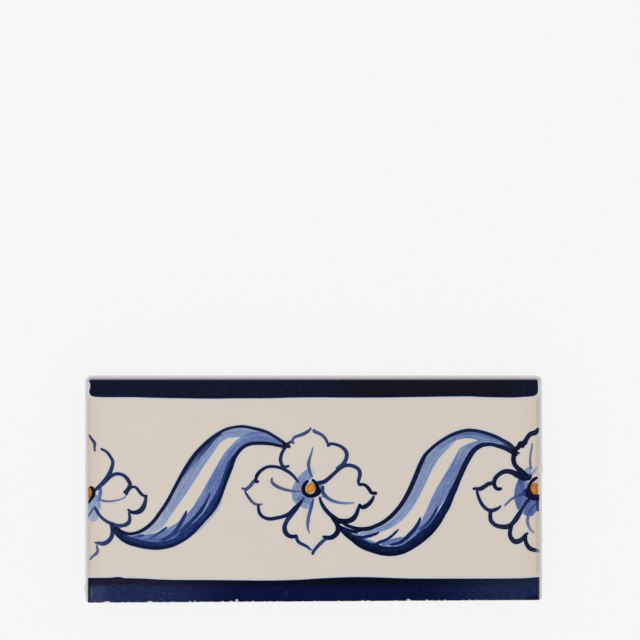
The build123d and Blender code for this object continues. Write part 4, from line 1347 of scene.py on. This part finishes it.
def paper_material(shade):
    """The ground's matt material, which the camera sees mostly as its own plain colour."""
    material = bpy.data.materials.new("paper")
    start = empty_tree(material)
    camera_ray = start.node("LightPath", output="Is Camera Ray")
    diffuse = start.node("BsdfPrincipled", None, {
        "Base Color": (*shade, 1.0), "Roughness": 0.95, "Specular IOR Level": 0.0,
    })
    glow = start.node("Emission", None, {"Color": (*shade, 1.0), "Strength": 1.0})
    mixed = start.node("MixShader", None, {0: camera_ray * 0.9, 1: diffuse, 2: glow})
    start.node("OutputMaterial", None, {"Surface": mixed})
    return material


def studio_world(studio):
    """The light all round: dim overhead, so that dark paint keeps its depth, and white to the camera."""
    around, overhead = 1.16, 0.015  # strengths of the light, as shares of the sky's
    world = bpy.data.worlds.new("studio")
    start = empty_tree(world)
    direction = start.node("TexCoord", output="Generated")
    height = start.node("SeparateXYZ", None, {0: direction}, 2)
    strength = height.step(0.84, 0.92).blend(around, overhead) * studio.sky
    strength = start.node("LightPath", output="Is Camera Ray").blend(strength, 1.0)
    background = start.node("Background", None, {"Color": (*studio.paper, 1.0), "Strength": strength})
    start.node("OutputWorld", None, {"Surface": background})
    bpy.context.scene.world = world


def soft_lamp(name, place, power):
    """A square soft lamp that faces the tile's middle."""
    lamp = bpy.data.lights.new(name, "AREA")
    lamp.shape = "SQUARE"
    lamp.size = 0.5
    lamp.energy = power
    obj = bpy.data.objects.new(name, lamp)
    obj.location = place
    x, y, z = place
    obj.rotation_euler = (math.atan2(math.hypot(x, y), z), 0, math.atan2(-y, -x) - math.pi / 2)
    bpy.context.scene.collection.objects.link(obj)


class TILE_OT_studio(bpy.types.Operator):
    """Set up the pale ground, the soft light and the camera"""

    bl_idname = "tile.studio"
    bl_label = "Studio"

    def execute(self, context):
        scene = context.scene
        studio = scene.tile_studio
        reach = 1.5  # metres from the middle of the ground to its edges
        mesh = bpy.data.meshes.new("ground")
        corners = [(-reach, -reach, 0), (reach, -reach, 0), (reach, reach, 0), (-reach, reach, 0)]
        mesh.from_pydata(corners, [], [(0, 1, 2, 3)])
        mesh.materials.append(paper_material(studio.paper))
        ground = bpy.data.objects.new("ground", mesh)
        scene.collection.objects.link(ground)

        studio_world(studio)
        soft_lamp("left lamp", (-0.75, 0.35, 0.65), studio.lamp * 0.6)
        soft_lamp("right lamp", (0.75, -0.25, 0.65), studio.lamp * 0.4)

        camera = bpy.data.cameras.new("camera")
        camera.lens = camera.sensor_width * studio.camera_height / studio.view_width
        camera.clip_start = 0.01
        obj = bpy.data.objects.new("camera", camera)
        face = BOX_HIGH[2] * MM
        obj.location = (studio.camera_x, studio.camera_y, face + studio.camera_height)
        scene.collection.objects.link(obj)
        scene.camera = obj
        scene.view_settings.view_transform = "Standard"
        return {"FINISHED"}


class TILE_PT_panel(bpy.types.Panel):
    """Lists the tile's operators and their settings in the sidebar"""

    bl_idname = "TILE_PT_panel"
    bl_label = "Painted Border Tile"
    bl_space_type = "VIEW_3D"
    bl_region_type = "UI"
    bl_category = "Tile"

    def draw(self, context):
        layout = self.layout
        for operator, groups in (
            ("tile.studio", ("tile_studio",)), ("tile.painted_tile", ("tile_shape", "tile_colours")),
        ):
            layout.operator(operator)
            for group in groups:
                settings = getattr(context.scene, group)
                for name in settings.__annotations__:
                    layout.prop(settings, name)


CLASSES = (TileShape, TileColours, TileStudio, TILE_OT_studio, TILE_OT_painted_tile, TILE_PT_panel)
GROUPS = {"tile_shape": TileShape, "tile_colours": TileColours, "tile_studio": TileStudio}


def register():
    for cls in CLASSES:
        bpy.utils.register_class(cls)
    for name, group in GROUPS.items():
        setattr(bpy.types.Scene, name, PointerProperty(type=group))


def unregister():
    for name in GROUPS:
        delattr(bpy.types.Scene, name)
    for cls in reversed(CLASSES):
        bpy.utils.unregister_class(cls)


def main():
    register()
    bpy.ops.tile.studio()
    bpy.ops.tile.painted_tile()


if __name__ == "__main__":
    main()
